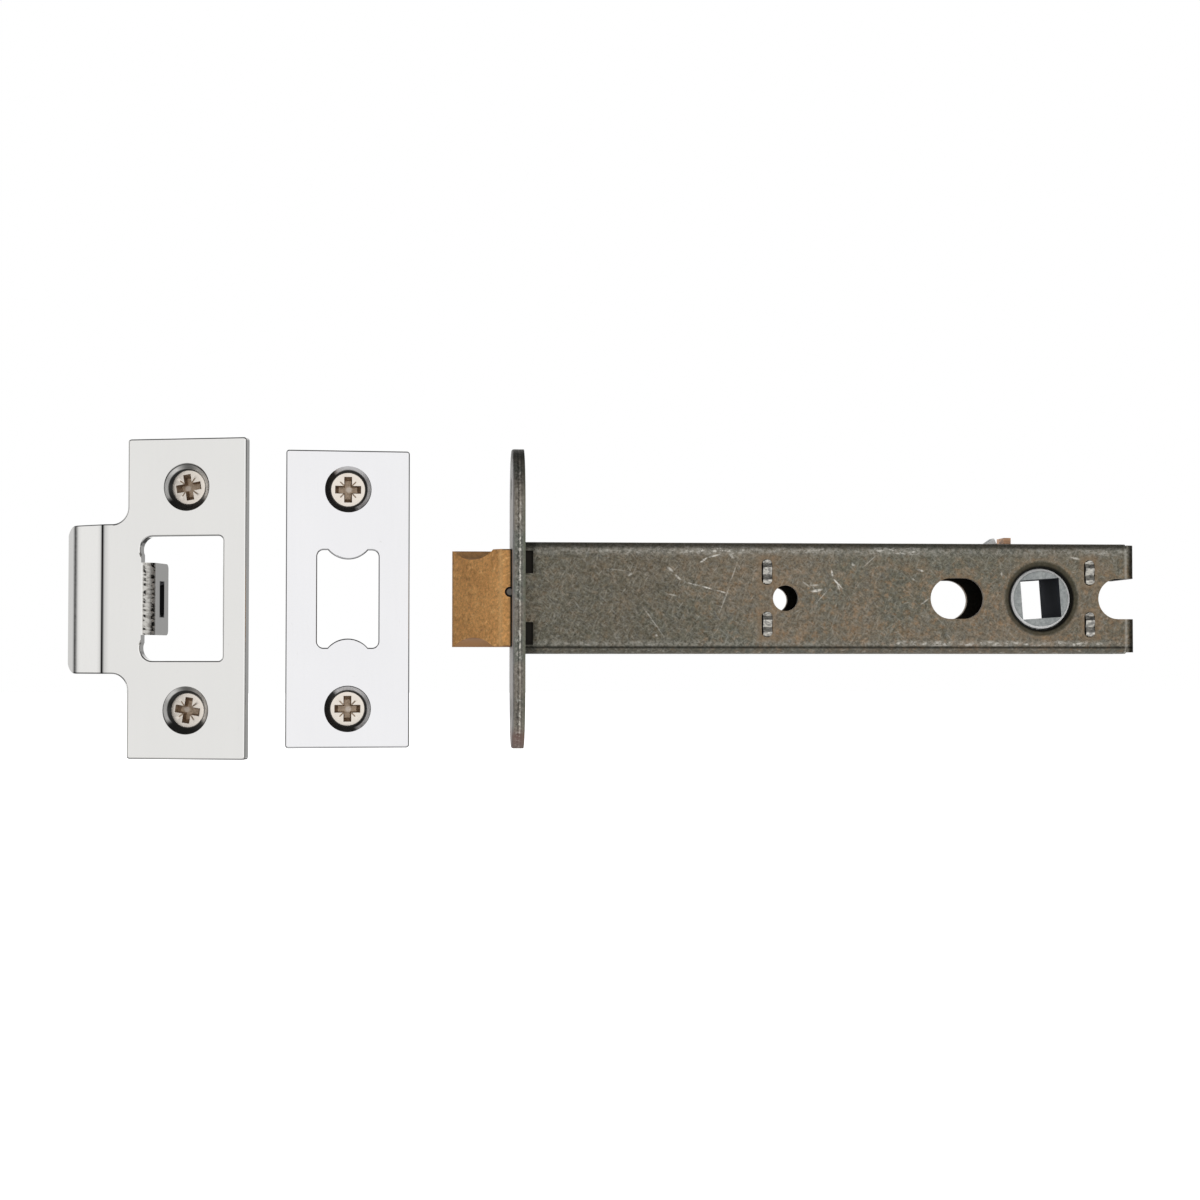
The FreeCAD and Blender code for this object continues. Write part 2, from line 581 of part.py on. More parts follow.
def tail_bar():
    """Flat tail: tongue in the bolt, run past the spring, shoulder at the abutment and a bent lug."""
    body = new_body("tail_bar")
    profile = new_sketch(body, "tail_profile", "XZ")
    shoulder = "(abutment_setback + abutment_gauge / 2 + stop_gap)"
    jog_rear = "(spindle_setback - fixing_front - %s - bolt_throw - jog_gap)" % FIXING_R
    outline(profile, [
        (TONGUE_FRONT, TONGUE_FOOT), (TONGUE_REAR, TONGUE_FOOT), (TONGUE_REAR, "tail_low"),
        ("(%s - jog_run)" % jog_rear, "tail_low"), (jog_rear, TAIL_FOOT), (LUG_REAR, TAIL_FOOT),
        (LUG_REAR, TAIL_HEAD), (shoulder, TAIL_HEAD), (shoulder, TAIL_TOP), (TONGUE_FRONT, TAIL_TOP),
    ])
    extrude(body, "Pad", profile, "tail_gauge", both=True)

    lug = new_sketch(body, "tail_lug", "YZ", z=LUG_FRONT)
    near = "(-tail_gauge / 2)"
    inner = "(tail_gauge / 2)"
    outline(lug, [
        (near, TAIL_FOOT), (inner, TAIL_FOOT), (inner, LUG_FOOT), (ARM_FAR, LUG_FOOT), (ARM_FAR, LUG_TOP),
        (near, LUG_TOP),
    ])
    extrude(body, "Pad", lug, "tail_gauge")

    pin_hole = new_sketch(body, "tongue_pin_hole", "XZ")
    circle(pin_hole, "-pin_advance", "pin_rise", "(pin_diameter / 2 + fit_gap)")
    extrude(body, "Pocket", pin_hole, both=True)
    return body


def cross_plate(name, middle, window):
    """Plate across the case with four stakes through the side plates."""
    body = new_body(name)
    plate = new_sketch(body, name + "_plate", "YZ", z="(%s - abutment_gauge / 2)" % middle)
    rounded(plate, "(%s - fit_gap)" % INNER_Y, "(%s - fit_gap)" % INNER_Z, "fold_radius")
    extrude(body, "Pad", plate, "abutment_gauge")

    for level, sign in (("upper", "1"), ("lower", "-1")):
        stakes = new_sketch(body, "%s_%s_stakes" % (name, level), "YZ", z="(%s - abutment_gauge / 2)" % middle)
        end = "(%s + stake_proud)" % HALF_WIDTH
        rectangle(stakes, "-" + end, end, "(%s * stake_rise - stake_height / 2)" % sign,
                  "(%s * stake_rise + stake_height / 2)" % sign)
        extrude(body, "Pad", stakes, "abutment_gauge")

        for side, facing in (("near", False), ("far", True)):
            head = new_sketch(body, "%s_%s_%s_head" % (name, level, side), "XZ",
                              z="(%s * (%s - case_gauge / 2))" % ("-1" if facing else "1", HALF_WIDTH))
            upright_slot(head, "(%s + stake_shift)" % middle, "(%s * stake_rise)" % sign,
                         "(stake_slot_height - 4 * fit_gap)", "stake_head")
            extrude(body, "Pad", head, "stake_proud + case_gauge / 2", reverse=facing)

        marks = new_sketch(body, "%s_%s_marks" % (name, level), "YZ", z=middle)
        for side in ("-1", "1"):
            for high, low in (("0.52", "0.16"), ("0.12", "-0.32"), ("-0.36", "-0.62")):
                face = "(%s * (%s + fit_gap))" % (side, end)
                foot = "(%s * (%s - stake_groove))" % (side, end)
                rise = "(%s * stake_rise + %s * stake_slot_height)"
                outline(marks, [
                    (face, rise % (sign, high)), (foot, rise % (sign, "(%s + %s) / 2" % (high, low))),
                    (face, rise % (sign, low)),
                ])
        extrude(body, "Pocket", marks, "2 * stake_slot_width", both=True)

    if window:
        passage = new_sketch(body, name + "_window", "YZ", z="(%s - abutment_gauge / 2)" % middle)
        rectangle(passage, "(-tail_gauge / 2 - tail_gap)", "(tail_gauge / 2 + tail_gap)", "(tail_low - tail_gap)",
                  "(%s + tail_gap)" % TAIL_TOP)
        extrude(body, "Pocket", passage, reverse=True)
    return body


def follower():
    """Cast hub with the spindle's square, a cam arm that drives the lug and an ear for the return spring."""
    body = new_body("follower")
    half = new_sketch(body, "hub_profile", "XY", x="spindle_setback")
    face = "(%s - face_recess)" % HALF_WIDTH
    chamfer = "(%s - hub_chamfer)" % face
    shoulder = "(%s - slide_gap)" % INNER_Y
    rim = "(%s - hub_chamfer)" % JOURNAL
    outline(half, [
        ("0", "-" + face), (rim, "-" + face), (JOURNAL, "-" + chamfer), (JOURNAL, "-" + shoulder),
        (HUB, "-" + shoulder), (HUB, shoulder), (JOURNAL, shoulder), (JOURNAL, chamfer), (rim, face), ("0", face),
    ])
    turn(body, "Revolution", half)

    arm = new_sketch(body, "cam_arm", "XZ", x="spindle_setback", z="-" + ARM_NEAR)
    tips = []
    for offset in ("arm_relief", ARM_FRONT):
        along = "sqrt(%s ^ 2 - %s ^ 2)" % (ARM_REACH, offset)
        tips.append(("(-%s * sin(arm_lean) - %s * cos(arm_lean))" % (along, offset),
                     "(%s * cos(arm_lean) - %s * sin(arm_lean))" % (along, offset)))
    root_front = ("(-%s * cos(arm_lean))" % JOURNAL, "(-%s * sin(arm_lean))" % JOURNAL)
    root_rear = ("(-arm_relief * cos(arm_lean))", "(-arm_relief * sin(arm_lean))")
    outline(arm, [root_rear, tips[0] + (ARM_REACH, 1), tips[1], root_front])
    extrude(body, "Pad", arm, "arm_thick", reverse=True)

    ear = new_sketch(body, "spring_ear", "XZ", x="spindle_setback", z="(ear_thick / 2)")
    corners = []
    for reach, side in ((0, -1), (1, -1), (1, 1), (0, 1)):
        along = "(%d * (%s + ear_reach))" % (reach, HUB)
        across = "(%d * ear_width / 2)" % side
        corners.append(("(%s * cos(%s) - %s * sin(%s))" % (along, EAR_ANGLE, across, EAR_ANGLE),
                        "(%s * sin(%s) + %s * cos(%s))" % (along, EAR_ANGLE, across, EAR_ANGLE)))
    outline(ear, corners)
    extrude(body, "Pad", ear, "ear_thick", reverse=True)

    square = new_sketch(body, "spindle_hole", "XZ", x="spindle_setback")
    corners = []
    for quarter in range(4):
        angle = "(%d + spindle_turn)" % (45 + 90 * quarter)
        corners.append(("(spindle_square / sqrt(2) * cos(%s))" % angle,
                        "(spindle_square / sqrt(2) * sin(%s))" % angle))
    outline(square, corners)
    extrude(body, "Pocket", square, both=True)
    return body


def coil(name, radius, pitch, height, wire):
    """Wire of many flats along a helix that rises along Z from its start on the X axis."""
    helix = doc.addObject("Part::Helix", name + "_path")
    helix.setExpression("Radius", bound(radius))
    helix.setExpression("Pitch", bound(pitch))
    helix.setExpression("Height", bound(height))
    section = doc.addObject("Part::RegularPolygon", name + "_section")
    section.Polygon = WIRE_SIDES
    section.setExpression("Circumradius", bound(wire + " / 2"))
    section.Placement = FreeCAD.Placement(FreeCAD.Vector(), FreeCAD.Rotation(FreeCAD.Vector(1, 0, 0), 90))
    section.setExpression("Placement.Base.x", bound(radius))
    sweep = doc.addObject("Part::Sweep", name)
    doc.recompute()
    sweep.Sections = [section]
    sweep.Spine = (helix, ["Edge1"])
    sweep.Solid = True
    sweep.Frenet = True
    return sweep


def bolt_spring():
    """Compression spring from the bolt's pocket to the abutment."""
    front = "(%s + spring_wire / 2 + fit_gap)" % POCKET_END
    rear = "(abutment_setback - abutment_gauge / 2 - spring_wire / 2 - fit_gap)"
    height = "(%s - %s)" % (rear, front)
    spring = coil("bolt_spring", "(spring_diameter - spring_wire) / 2", height + " / spring_turns", height,
                  "spring_wire")
    spring.Label = "bolt_spring"
    spring.Placement = FreeCAD.Placement(FreeCAD.Vector(), FreeCAD.Rotation(FreeCAD.Vector(0, 1, 0), 90))
    spring.setExpression("Placement.Base.x", bound(front))
    spring.setExpression("Placement.Base.z", bound("-spring_drop"))
    return spring


def follower_spring():
    """Return spring round the hub: a bent hook under the follower's ear and a leg up against the roof."""
    radius = value(COIL_R)
    length = value(COIL_LENGTH)
    wire = value("coil_wire / 2")
    bend = value("hook_bend")
    climb = math.radians(value(COIL_CLIMB))
    lean = math.radians(value("leg_lean"))
    leg_rise = value("%s - coil_wire / 2 - fit_gap - %s * cos(leg_lean)" % (INNER_Z, COIL_R))

    # The winding climbs along Z from the hook on its X axis; the wire runs tangent from part to part.
    begin = FreeCAD.Vector(radius, 0, 0)
    centre = begin + FreeCAD.Vector(0, math.sin(climb), -math.cos(climb)) * bend
    hook_top = centre - FreeCAD.Vector(0, bend, 0)
    hook_tip = hook_top - FreeCAD.Vector(0, 0, value("hook_length"))
    half_way = (begin - centre) + (hook_top - centre)
    bend_middle = centre + half_way.normalize() * bend
    end = FreeCAD.Vector(radius * math.sin(lean), radius * math.cos(lean), length)
    along = FreeCAD.Vector(-math.cos(lean), math.sin(lean), math.tan(climb))
    leg_tip = end + along * (leg_rise / along.y)

    winding = Part.makeHelix(length / value(COIL_TURNS), length, radius)
    path = Part.Wire([
        Part.LineSegment(hook_tip, hook_top).toShape(),
        Part.Arc(hook_top, bend_middle, begin).toShape(),
        *winding.Edges,
        Part.LineSegment(end, leg_tip).toShape(),
    ])
    flats = [2 * math.pi * side / WIRE_SIDES for side in range(WIRE_SIDES + 1)]
    section = Part.makePolygon([
        hook_tip + FreeCAD.Vector(math.cos(flat), math.sin(flat), 0) * wire for flat in flats])
    spring = doc.addObject("Part::Feature", "follower_spring")
    spring.Label = "follower_spring"
    spring.Shape = path.makePipeShell([section], True, False)
    spring.Placement = FreeCAD.Placement(FreeCAD.Vector(), FreeCAD.Rotation(FreeCAD.Vector(1, 0, 0), 90))
    spring.setExpression("Placement.Base.x", bound("spindle_setback"))
    spring.setExpression("Placement.Base.y", bound("-" + COIL_FAR))
    return spring


def countersink(body, name, height, mouth):
    """Conical screw hole through a plate, square-angled, its axis at the given height."""
    cone = new_sketch(body, name, "XY", z=height)
    outline(cone, [
        ("0", "0"), (mouth + " / 2", "0"), (mouth + " / 2 - plate_gauge", "plate_gauge"), ("0", "plate_gauge"),
    ])
    turn(body, "Groove", cone)


def cover_plate():
    """Plated cover with the bolt's opening and two countersunk holes."""
    body = new_body("cover_plate")
    face = new_sketch(body, "cover_face", "XZ")
    rounded(face, "(cover_width / 2)", "(cover_height / 2)", "plate_corner")
    extrude(body, "Pad", face, "plate_gauge", reverse=True)
    opening = new_sketch(body, "cover_opening", "XZ")
    scalloped(opening, "(%s + cover_gap)" % BOLT_Y, "(%s + cover_gap)" % BOLT_Z, "(scallop_radius - cover_gap)",
              "cover_corner")
    extrude(body, "Pocket", opening, both=True)
    countersink(body, "cover_upper_hole", "forend_pitch / 2", "cover_sink")
    countersink(body, "cover_lower_hole", "-forend_pitch / 2", "cover_sink")
    round_rims(body, "plate_edge", FreeCAD.Vector(0, -1, 0), lambda middle: True)
    stand(body, "cover_ahead", "cover_depth", "cover_tilt", 1)
    return body


def strike_plate():
    """Plated strike: flat plate, twice bent lip, and a bolt hole whose edge is folded back as a slotted tang."""
    body = new_body("strike_plate")
    left = "(-strike_width / 2)"
    right = "(strike_width / 2)"
    top = "(strike_height / 2)"
    lip_z = "(lip_height / 2)"
    bend_x = "(-strike_width / 2 - lip_neck)"
    face = new_sketch(body, "strike_face", "XZ")
    straight_x = "(strike_width / 2 - plate_corner)"
    straight_z = "(strike_height / 2 - plate_corner)"
    outline(face, [
        ("-" + straight_x, "-" + top), (straight_x, "-" + top, "plate_corner", 1),
        (right, "-" + straight_z), (right, straight_z, "plate_corner", 1),
        (straight_x, top), ("-" + straight_x, top, "plate_corner", 1), (left, straight_z),
        (left, "(%s + lip_blend)" % lip_z, "lip_blend", -1), ("(%s - lip_blend)" % left, lip_z), (bend_x, lip_z),
        (bend_x, "-" + lip_z), ("(%s - lip_blend)" % left, "-" + lip_z, "lip_blend", -1),
        (left, "(-%s - lip_blend)" % lip_z), (left, "-" + straight_z, "plate_corner", 1),
    ])
    extrude(body, "Pad", face, "plate_gauge", reverse=True)

    # The lip leans back in two bends, round on the outside and mitred inside.
    lip = new_sketch(body, "strike_lip", "XY")
    skirt = "(lip_crease * tan(lip_lean / 2))"
    mitre = "(plate_gauge / cos(lip_lean / 2))"
    run = "(lip_middle + %s)" % skirt
    full = "(2 * lip_lean)"
    first = ("(%s - %s)" % (bend_x, skirt), "0")
    first_end = ("(%s - %s * cos(lip_lean))" % (first[0], skirt), "(%s * sin(lip_lean))" % skirt)
    second_start = ("(%s - %s * cos(lip_lean))" % (first[0], run), "(%s * sin(lip_lean))" % run)
    second = ("(%s - %s * cos(lip_lean))" % (second_start[0], skirt),
              "(%s + %s * sin(lip_lean))" % (second_start[1], skirt))
    second_end = ("(%s - %s * cos(%s))" % (second[0], skirt, full),
                  "(%s + %s * sin(%s))" % (second[1], skirt, full))
    tip = ("(%s - lip_end * cos(%s))" % (second_end[0], full), "(%s + lip_end * sin(%s))" % (second_end[1], full))
    inner = [("(%s + %s * sin(%s))" % (at[0], thick, angle), "(%s + %s * cos(%s))" % (at[1], thick, angle))
             for at, thick, angle in ((tip, "plate_gauge", full), (second, mitre, "(1.5 * lip_lean)"),
                                      (first, mitre, "(lip_lean / 2)"))]
    overlap = "(%s + plate_gauge)" % bend_x
    outline(lip, [
        (overlap, "plate_gauge"), (overlap, "0"), (bend_x, "0", "lip_crease", 1), first_end,
        second_start + ("lip_crease", 1), second_end, tip, *inner,
    ])
    extrude(body, "Pad", lip, "lip_height", both=True)
    round_rims(body, "plate_edge", FreeCAD.Vector(0, -1, 0), lambda middle: True)

    for level, sign, side in (("upper", "1", 1), ("lower", "-1", -1)):
        corner = new_sketch(body, level + "_lip_corner", "XZ")
        edge_z = "(%s * %s)" % (sign, lip_z)
        start_z = "(%s * (%s - lip_corner))" % (sign, lip_z)
        start_x = "(%s + lip_corner)" % tip[0]
        beyond = "(%s - lip_corner)" % tip[0]
        outline(corner, [
            (start_x, edge_z, "lip_corner", side), (tip[0], start_z), (beyond, start_z), (beyond, edge_z),
        ])
        extrude(body, "Pocket", corner, both=True)

    hole = new_sketch(body, "strike_bolt_hole", "XZ")
    high = "(keep_height / 2)"
    lobe_x = "(-keep_left)"
    lobe_left = "(-keep_left - lobe_radius)"
    lobe_mid = "(%s - lobe_radius)" % high
    outline(hole, [
        (lobe_x, "-" + high), ("(keep_right - keep_corner)", "-" + high, "keep_corner", 1),
        ("keep_right", "(-%s + keep_corner)" % high),
        ("keep_right", "(%s - keep_corner)" % high, "keep_corner", 1),
        ("(keep_right - keep_corner)", high), (lobe_x, high, "lobe_radius", 1),
        (lobe_left, lobe_mid, "lobe_radius", 1), (lobe_x, TANG_Z), (lobe_x, "-" + TANG_Z, "lobe_radius", 1),
        (lobe_left, "-" + lobe_mid, "lobe_radius", 1),
    ])
    extrude(body, "Pocket", hole, both=True)
    reach = (value(lobe_left) - 0.01, value("keep_right") + 0.01, value(high) + 0.01)
    round_rims(body, "plate_edge", FreeCAD.Vector(0, -1, 0),
               lambda middle: reach[0] < middle.x < reach[1] and abs(middle.z) < reach[2])

    bend_start = "(-keep_left - tang_bend)"
    clearing = new_sketch(body, "tang_bend_gap", "XZ")
    rectangle(clearing, bend_start, lobe_x, "-" + lobe_mid, lobe_mid)
    extrude(body, "Pocket", clearing, both=True)
    tang = new_sketch(body, "strike_tang", "XY")
    inner_bend = "(tang_bend - plate_gauge)"
    inner_x = "(-keep_left - plate_gauge)"
    outline(tang, [
        (bend_start, "plate_gauge"), (bend_start, "0", "tang_bend", 1), (lobe_x, "tang_bend"),
        (lobe_x, "tang_length"), (inner_x, "tang_length"), (inner_x, "tang_bend", inner_bend, -1),
    ])
    extrude(body, "Pad", tang, "2 * %s" % TANG_Z, both=True)

    tang_slot = new_sketch(body, "tang_slot", "YZ", z="(-keep_left + fit_gap)")
    upright_slot(tang_slot, "tang_slot_setback", "0", "tang_slot_height", "tang_slot_width")
    extrude(body, "Pocket", tang_slot, "plate_gauge + 2 * fit_gap")

    for level, sign, side in (("upper", "1", 1), ("lower", "-1", -1)):
        corner = new_sketch(body, level + "_tang_corner", "YZ", z="(-keep_left + fit_gap)")
        edge_z = "(%s * %s)" % (sign, TANG_Z)
        start_z = "(%s * (%s - tang_corner))" % (sign, TANG_Z)
        beyond = "(tang_length + tang_corner)"
        outline(corner, [
            ("tang_length", start_z, "tang_corner", side), ("(tang_length - tang_corner)", edge_z),
            (beyond, edge_z), (beyond, start_z),
        ])
        extrude(body, "Pocket", corner, "plate_gauge + 2 * fit_gap")

    countersink(body, "strike_upper_hole", "strike_pitch / 2", "strike_sink")
    countersink(body, "strike_lower_hole", "-strike_pitch / 2", "strike_sink")
    stand(body, "strike_ahead", "strike_depth", "strike_tilt", -1)
    return body


def wood_screw(name, height, mouth):
    """Countersunk wood screw with a cross recess, seated in a plate's countersink at the given height."""
    body = new_body(name)
    profile = new_sketch(body, name + "_profile", "XY", z=height)
    crown = "((%s - screw_head) / 2 - seat_gap)" % mouth
    neck = "(%s + (screw_head - screw_shank) / 2)" % crown
    tip = "(%s + screw_length)" % crown
    outline(profile, [
        ("0", crown), ("screw_head / 2", crown), ("screw_shank / 2", neck),
        ("screw_shank / 2", "(%s - screw_point)" % tip), ("0", tip),
    ])
    turn(body, "Revolution", profile)

    recess = new_sketch(body, name + "_recess", "XZ", y=height, z="-" + crown)
    reach = "(recess_span / 2)"
    wing = "(recess_wing / 2)"
    outline(recess, [
        ("-" + wing, "-" + reach), (wing, "-" + reach), (wing, "-" + wing), (reach, "-" + wing), (reach, wing),
        (wing, wing), (wing, reach), ("-" + wing, reach), ("-" + wing, wing), ("-" + reach, wing),
        ("-" + reach, "-" + wing), ("-" + wing, "-" + wing),
    ])
    extrude(body, "Pocket", recess, "recess_depth")
    return body


def screw_pair(name, pitch, mouth, place):
    """Two like screws of one plate, kept as separate solids of one node."""
    pair = doc.addObject("Part::Compound", name)
    pair.Label = name
    pair.Links = [wood_screw("%s_%s" % (name, level), "%s%s / 2" % (sign, pitch), mouth)
                  for level, sign in (("upper", ""), ("lower", "-"))]
    stand(pair, *place)
    return pair


nodes = [
    case_shell(),
    case_cover(),
    forend_plate(),
    cross_plate("spring_abutment", "abutment_setback", True),
    cross_plate("rear_spacer", SPACER_X, False),
    latch_bolt(),
    bolt_pin(),
    tail_bar(),
    bolt_spring(),
    follower(),
    follower_spring(),
    cover_plate(),
    screw_pair("cover_plate_screws", "forend_pitch", "cover_sink",
               ("cover_ahead", "cover_depth", "cover_tilt", 1)),
    strike_plate(),
    screw_pair("strike_plate_screws", "strike_pitch", "strike_sink",
               ("strike_ahead", "strike_depth", "strike_tilt", -1)),
]
doc.recompute()

for thing in doc.Objects:
    if "Invalid" in thing.State or "Error" in thing.State:
        raise RuntimeError("%s did not rebuild: %s" % (thing.Name, thing.State))
for node in nodes:
    if node.Shape.isNull() or not node.Shape.isValid():
        raise RuntimeError("%s has no valid shape" % node.Label)

os.makedirs("parts", exist_ok=True)
for node in nodes:
    node.Shape.exportStep("parts/%s.step" % node.Label)
    print("%s: %d solids, %.1f mm3" % (node.Label, len(node.Shape.Solids), node.Shape.Volume))
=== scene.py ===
"""Looks of a tubular door latch: case, bolt and follower, cover plate, strike plate and wood screws."""

import math

import bpy
from mathutils import Matrix, Vector


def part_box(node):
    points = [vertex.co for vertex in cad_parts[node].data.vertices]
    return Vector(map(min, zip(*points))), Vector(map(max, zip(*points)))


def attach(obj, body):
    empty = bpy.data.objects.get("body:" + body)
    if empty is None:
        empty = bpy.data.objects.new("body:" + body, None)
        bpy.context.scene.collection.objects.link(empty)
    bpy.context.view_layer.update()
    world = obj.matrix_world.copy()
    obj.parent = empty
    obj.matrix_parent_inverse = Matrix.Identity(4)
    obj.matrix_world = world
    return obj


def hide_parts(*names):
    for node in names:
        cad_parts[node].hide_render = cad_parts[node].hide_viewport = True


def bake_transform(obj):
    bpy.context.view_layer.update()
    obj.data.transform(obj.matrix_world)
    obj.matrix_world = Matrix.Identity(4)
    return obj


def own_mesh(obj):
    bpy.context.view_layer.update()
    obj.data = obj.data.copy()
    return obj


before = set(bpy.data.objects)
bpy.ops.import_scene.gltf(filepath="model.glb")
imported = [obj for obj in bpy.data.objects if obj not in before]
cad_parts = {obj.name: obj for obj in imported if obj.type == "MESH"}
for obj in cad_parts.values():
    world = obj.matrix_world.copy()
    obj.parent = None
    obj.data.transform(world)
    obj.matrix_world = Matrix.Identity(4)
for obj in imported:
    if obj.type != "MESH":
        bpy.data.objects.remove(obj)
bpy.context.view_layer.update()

bl_info = {
    "name": "Tubular Latch",
    "version": (1, 0, 0),
    "blender": (4, 5, 0),
    "location": "View3D > Sidebar > Latch",
    "description": "Finishes a tubular door latch with worn steel, brass and bright plating",
    "category": "Object",
}

# Metres in a millimetre. The lengths below are in millimetres, the angles in degrees.
MM = 0.001

# Where the plates stand: middle along X and Y, turn about Z, screw spacing, countersink mouth, screw's turn.
PLATES = {
    "cover_plate": {"middle": (-33.3, 4.2), "tilt": 5.0, "pitch": 45.0, "mouth": 9.5, "turn": 0.0},
    "strike_plate": {"middle": (-66.0, 3.4), "tilt": -14.4, "pitch": 45.5, "mouth": 9.8, "turn": -9.0},
}

# Along X: where one plate's colour gives way to the other's, and the folds of the strike plate's lip.
BETWEEN_PLATES = (-48.0, -51.0)
LIP_FOLDS = (-83.55, -89.86)

# Height of the screws, length of a turned plate over its length along X, play of a screw in its seat.
SCREW_ROW, TILT_STRETCH, SEAT_GAP = 22.6, 1.015, 0.15

# Tang slot as the strike plate is turned: middle along the plate and behind it, half sizes, half height.
TANG_SLOT = {"middle": (-8.0, 5.2), "half": (2.5, 1.15), "half_height": 3.65}

# Openings, staked ends and folds of the case along X and Z, the height of the painted dark line on the lower
# fold, inner faces of its sides along Y.
SPINDLE = 108.0
SIGHT_HOLE, SIGHT_RADIUS = 55.3, 2.6
SLOT_FRONT, SLOT_REAR, NOTCH_FRONT, FIXING_RADIUS = 89.2, 91.95, 124.0, 4.15
FRONT_STAKE, REAR_STAKE, STAKE_LEVEL = 51.5, 118.0, 5.3
STAKE_HALF_WIDTH, STAKE_HALF_HEIGHT = 1.1, 2.6
UPPER_FOLD, LOWER_FOLD, LOWER_FOLD_SHADE_LINE, REAR_FOLD = 9.7, -9.2, -9.95, 125.6
INNER_FACE = 6.35

# Screw thread: its start, what it leaves of the point, half its foot, sunk and proud parts, thinnest end.
THREAD_START, THREAD_END, THREAD_FOOT = 7.0, 0.6, 0.42
THREAD_SUNK, THREAD_PROUD, THREAD_TIP = 0.2, 0.1, 0.05

# Cross recess: size of a groove's floor over its mouth; ticks beside it: share of its span, width, depth.
WING_DRAFT, TICK_DRAFT = 0.55, 0.6
TICK_SPAN, TICK_WIDTH, TICK_DEPTH = 0.86, 0.28, 0.16

# Straight stretches in one turn of a screw, its thread and each spring, and in the bend of the hook.
SCREW_STEPS, THREAD_STEPS = 48, 24
BOLT_SPRING_STEPS, RETURN_SPRING_STEPS, HOOK_STEPS = 28, 40, 9

# Points closer than this become one.
WELD = 0.002

# Colours of painted shade, painted highlights, stains and other small marks.
# Painted shade on the hub's inward-rolled rim.
HUB_RING_SHADE = (0.062, 0.056, 0.037)
# Painted shadow: the gap round the hub and the countersinks.
SHADOW = (0.010, 0.010, 0.009)
# Painted shade inside the case; also the near-black rim of the pin's end.
INSIDE_SHADE_AND_PIN_RIM = (0.012, 0.011, 0.010)
FOREND_PATCH = (0.225, 0.230, 0.200)
FOREND_CHIP = (0.03, 0.028, 0.024)
FOREND_FRONT = (0.55, 0.54, 0.56)
FOREND_BACK = (0.150, 0.165, 0.105)
# Painted shade on the forend's rounded upper end.
FOREND_TOP_SHADE = (0.06, 0.065, 0.06)
FOREND_FOOT = (0.22, 0.115, 0.095)
# Painted shade on the bolt where it runs inside the case.
BOLT_INSIDE_SHADE = (0.022, 0.020, 0.017)
# Bare turned chamfer, painted near white as a highlight.
CHAMFER_HIGHLIGHT = (0.95, 0.95, 0.94)
# Painted shade on the walls of the follower's spindle hole.
SOCKET_WALL_SHADE = (0.085, 0.092, 0.110)
DRAWN_COPPER = (0.36, 0.22, 0.14)
PIT = (0.55, 0.53, 0.50)
TANG_PALE = (0.70, 0.68, 0.64)
TANG_DARK = (0.36, 0.34, 0.31)
# Painted shade on the walls of the tang's slot.
SLOT_WALL_SHADE = (0.03, 0.03, 0.035)
# Painted dark line along the plates' bends.
BEND_SHADE = (0.008, 0.008, 0.008)
# Painted shade on the plates' rounded edges.
PLATE_EDGE_SHADE = (0.02, 0.02, 0.02)
NICKEL_STAIN = (0.66, 0.57, 0.49)
DRIVE_DARK = (0.34, 0.26, 0.19)
DRIVE_MIDDLE = (0.86, 0.78, 0.70)
OIL = (0.16, 0.14, 0.12)
HAZE = (0.97, 0.97, 0.97)

# Bright scratches on the near side plate: start and end along X and Z, width, strength.
NEAR_SCRATCHES = (
    ((37.6, 7.0), (39.6, 8.3), 0.55, 0.9), ((39.2, 8.1), (42.2, 8.9), 0.5, 0.8),
    ((43.6, 9.2), (45.0, 7.8), 0.7, 0.6), ((35.0, 3.2), (38.4, 2.3), 0.42, 0.7),
    ((37.8, 2.5), (41.0, 1.6), 0.42, 0.9), ((40.6, 1.7), (43.8, 0.9), 0.4, 0.7),
    ((45.6, 7.6), (43.8, 2.6), 0.32, 0.40), ((44.2, 3.2), (41.4, -4.0), 0.32, 0.40),
    ((25.6, -0.8), (31.4, -9.0), 0.32, 0.36), ((23.0, 4.4), (24.4, 5.0), 0.7, 0.5),
    ((31.0, 6.4), (32.6, 5.2), 0.7, 0.6), ((32.6, 4.9), (34.2, 3.4), 0.6, 0.6),
    ((30.8, 0.9), (33.4, 0.4), 0.5, 0.4), ((28.6, -7.4), (29.4, -7.7), 0.8, 0.7),
    ((64.6, 6.0), (65.0, 4.2), 0.55, 0.9), ((64.7, 4.3), (67.2, 1.7), 0.5, 0.9),
    ((65.8, 3.4), (66.4, 1.2), 0.4, 0.6), ((60.2, 1.3), (63.0, 1.8), 0.8, 0.9),
    ((60.0, 2.6), (62.4, 2.7), 0.5, 0.5), ((64.4, 2.2), (60.8, -1.8), 0.3, 0.45),
    ((68.8, 7.3), (69.4, 6.4), 0.7, 0.7), ((70.6, 5.8), (74.4, 9.2), 0.3, 0.40),
    ((82.0, 5.9), (83.8, 5.5), 0.65, 0.85), ((81.0, 4.2), (82.2, 3.5), 0.5, 0.5),
    ((82.6, -1.6), (85.2, 0.4), 0.4, 0.5), ((58.4, 3.6), (60.4, 2.2), 0.4, 0.4),
    ((99.6, 5.6), (99.9, 4.4), 0.5, 0.5), ((113.6, 8.6), (116.4, 8.0), 0.6, 0.6),
    ((18.0, 6.0), (24.0, 5.3), 0.3, 0.3),
)


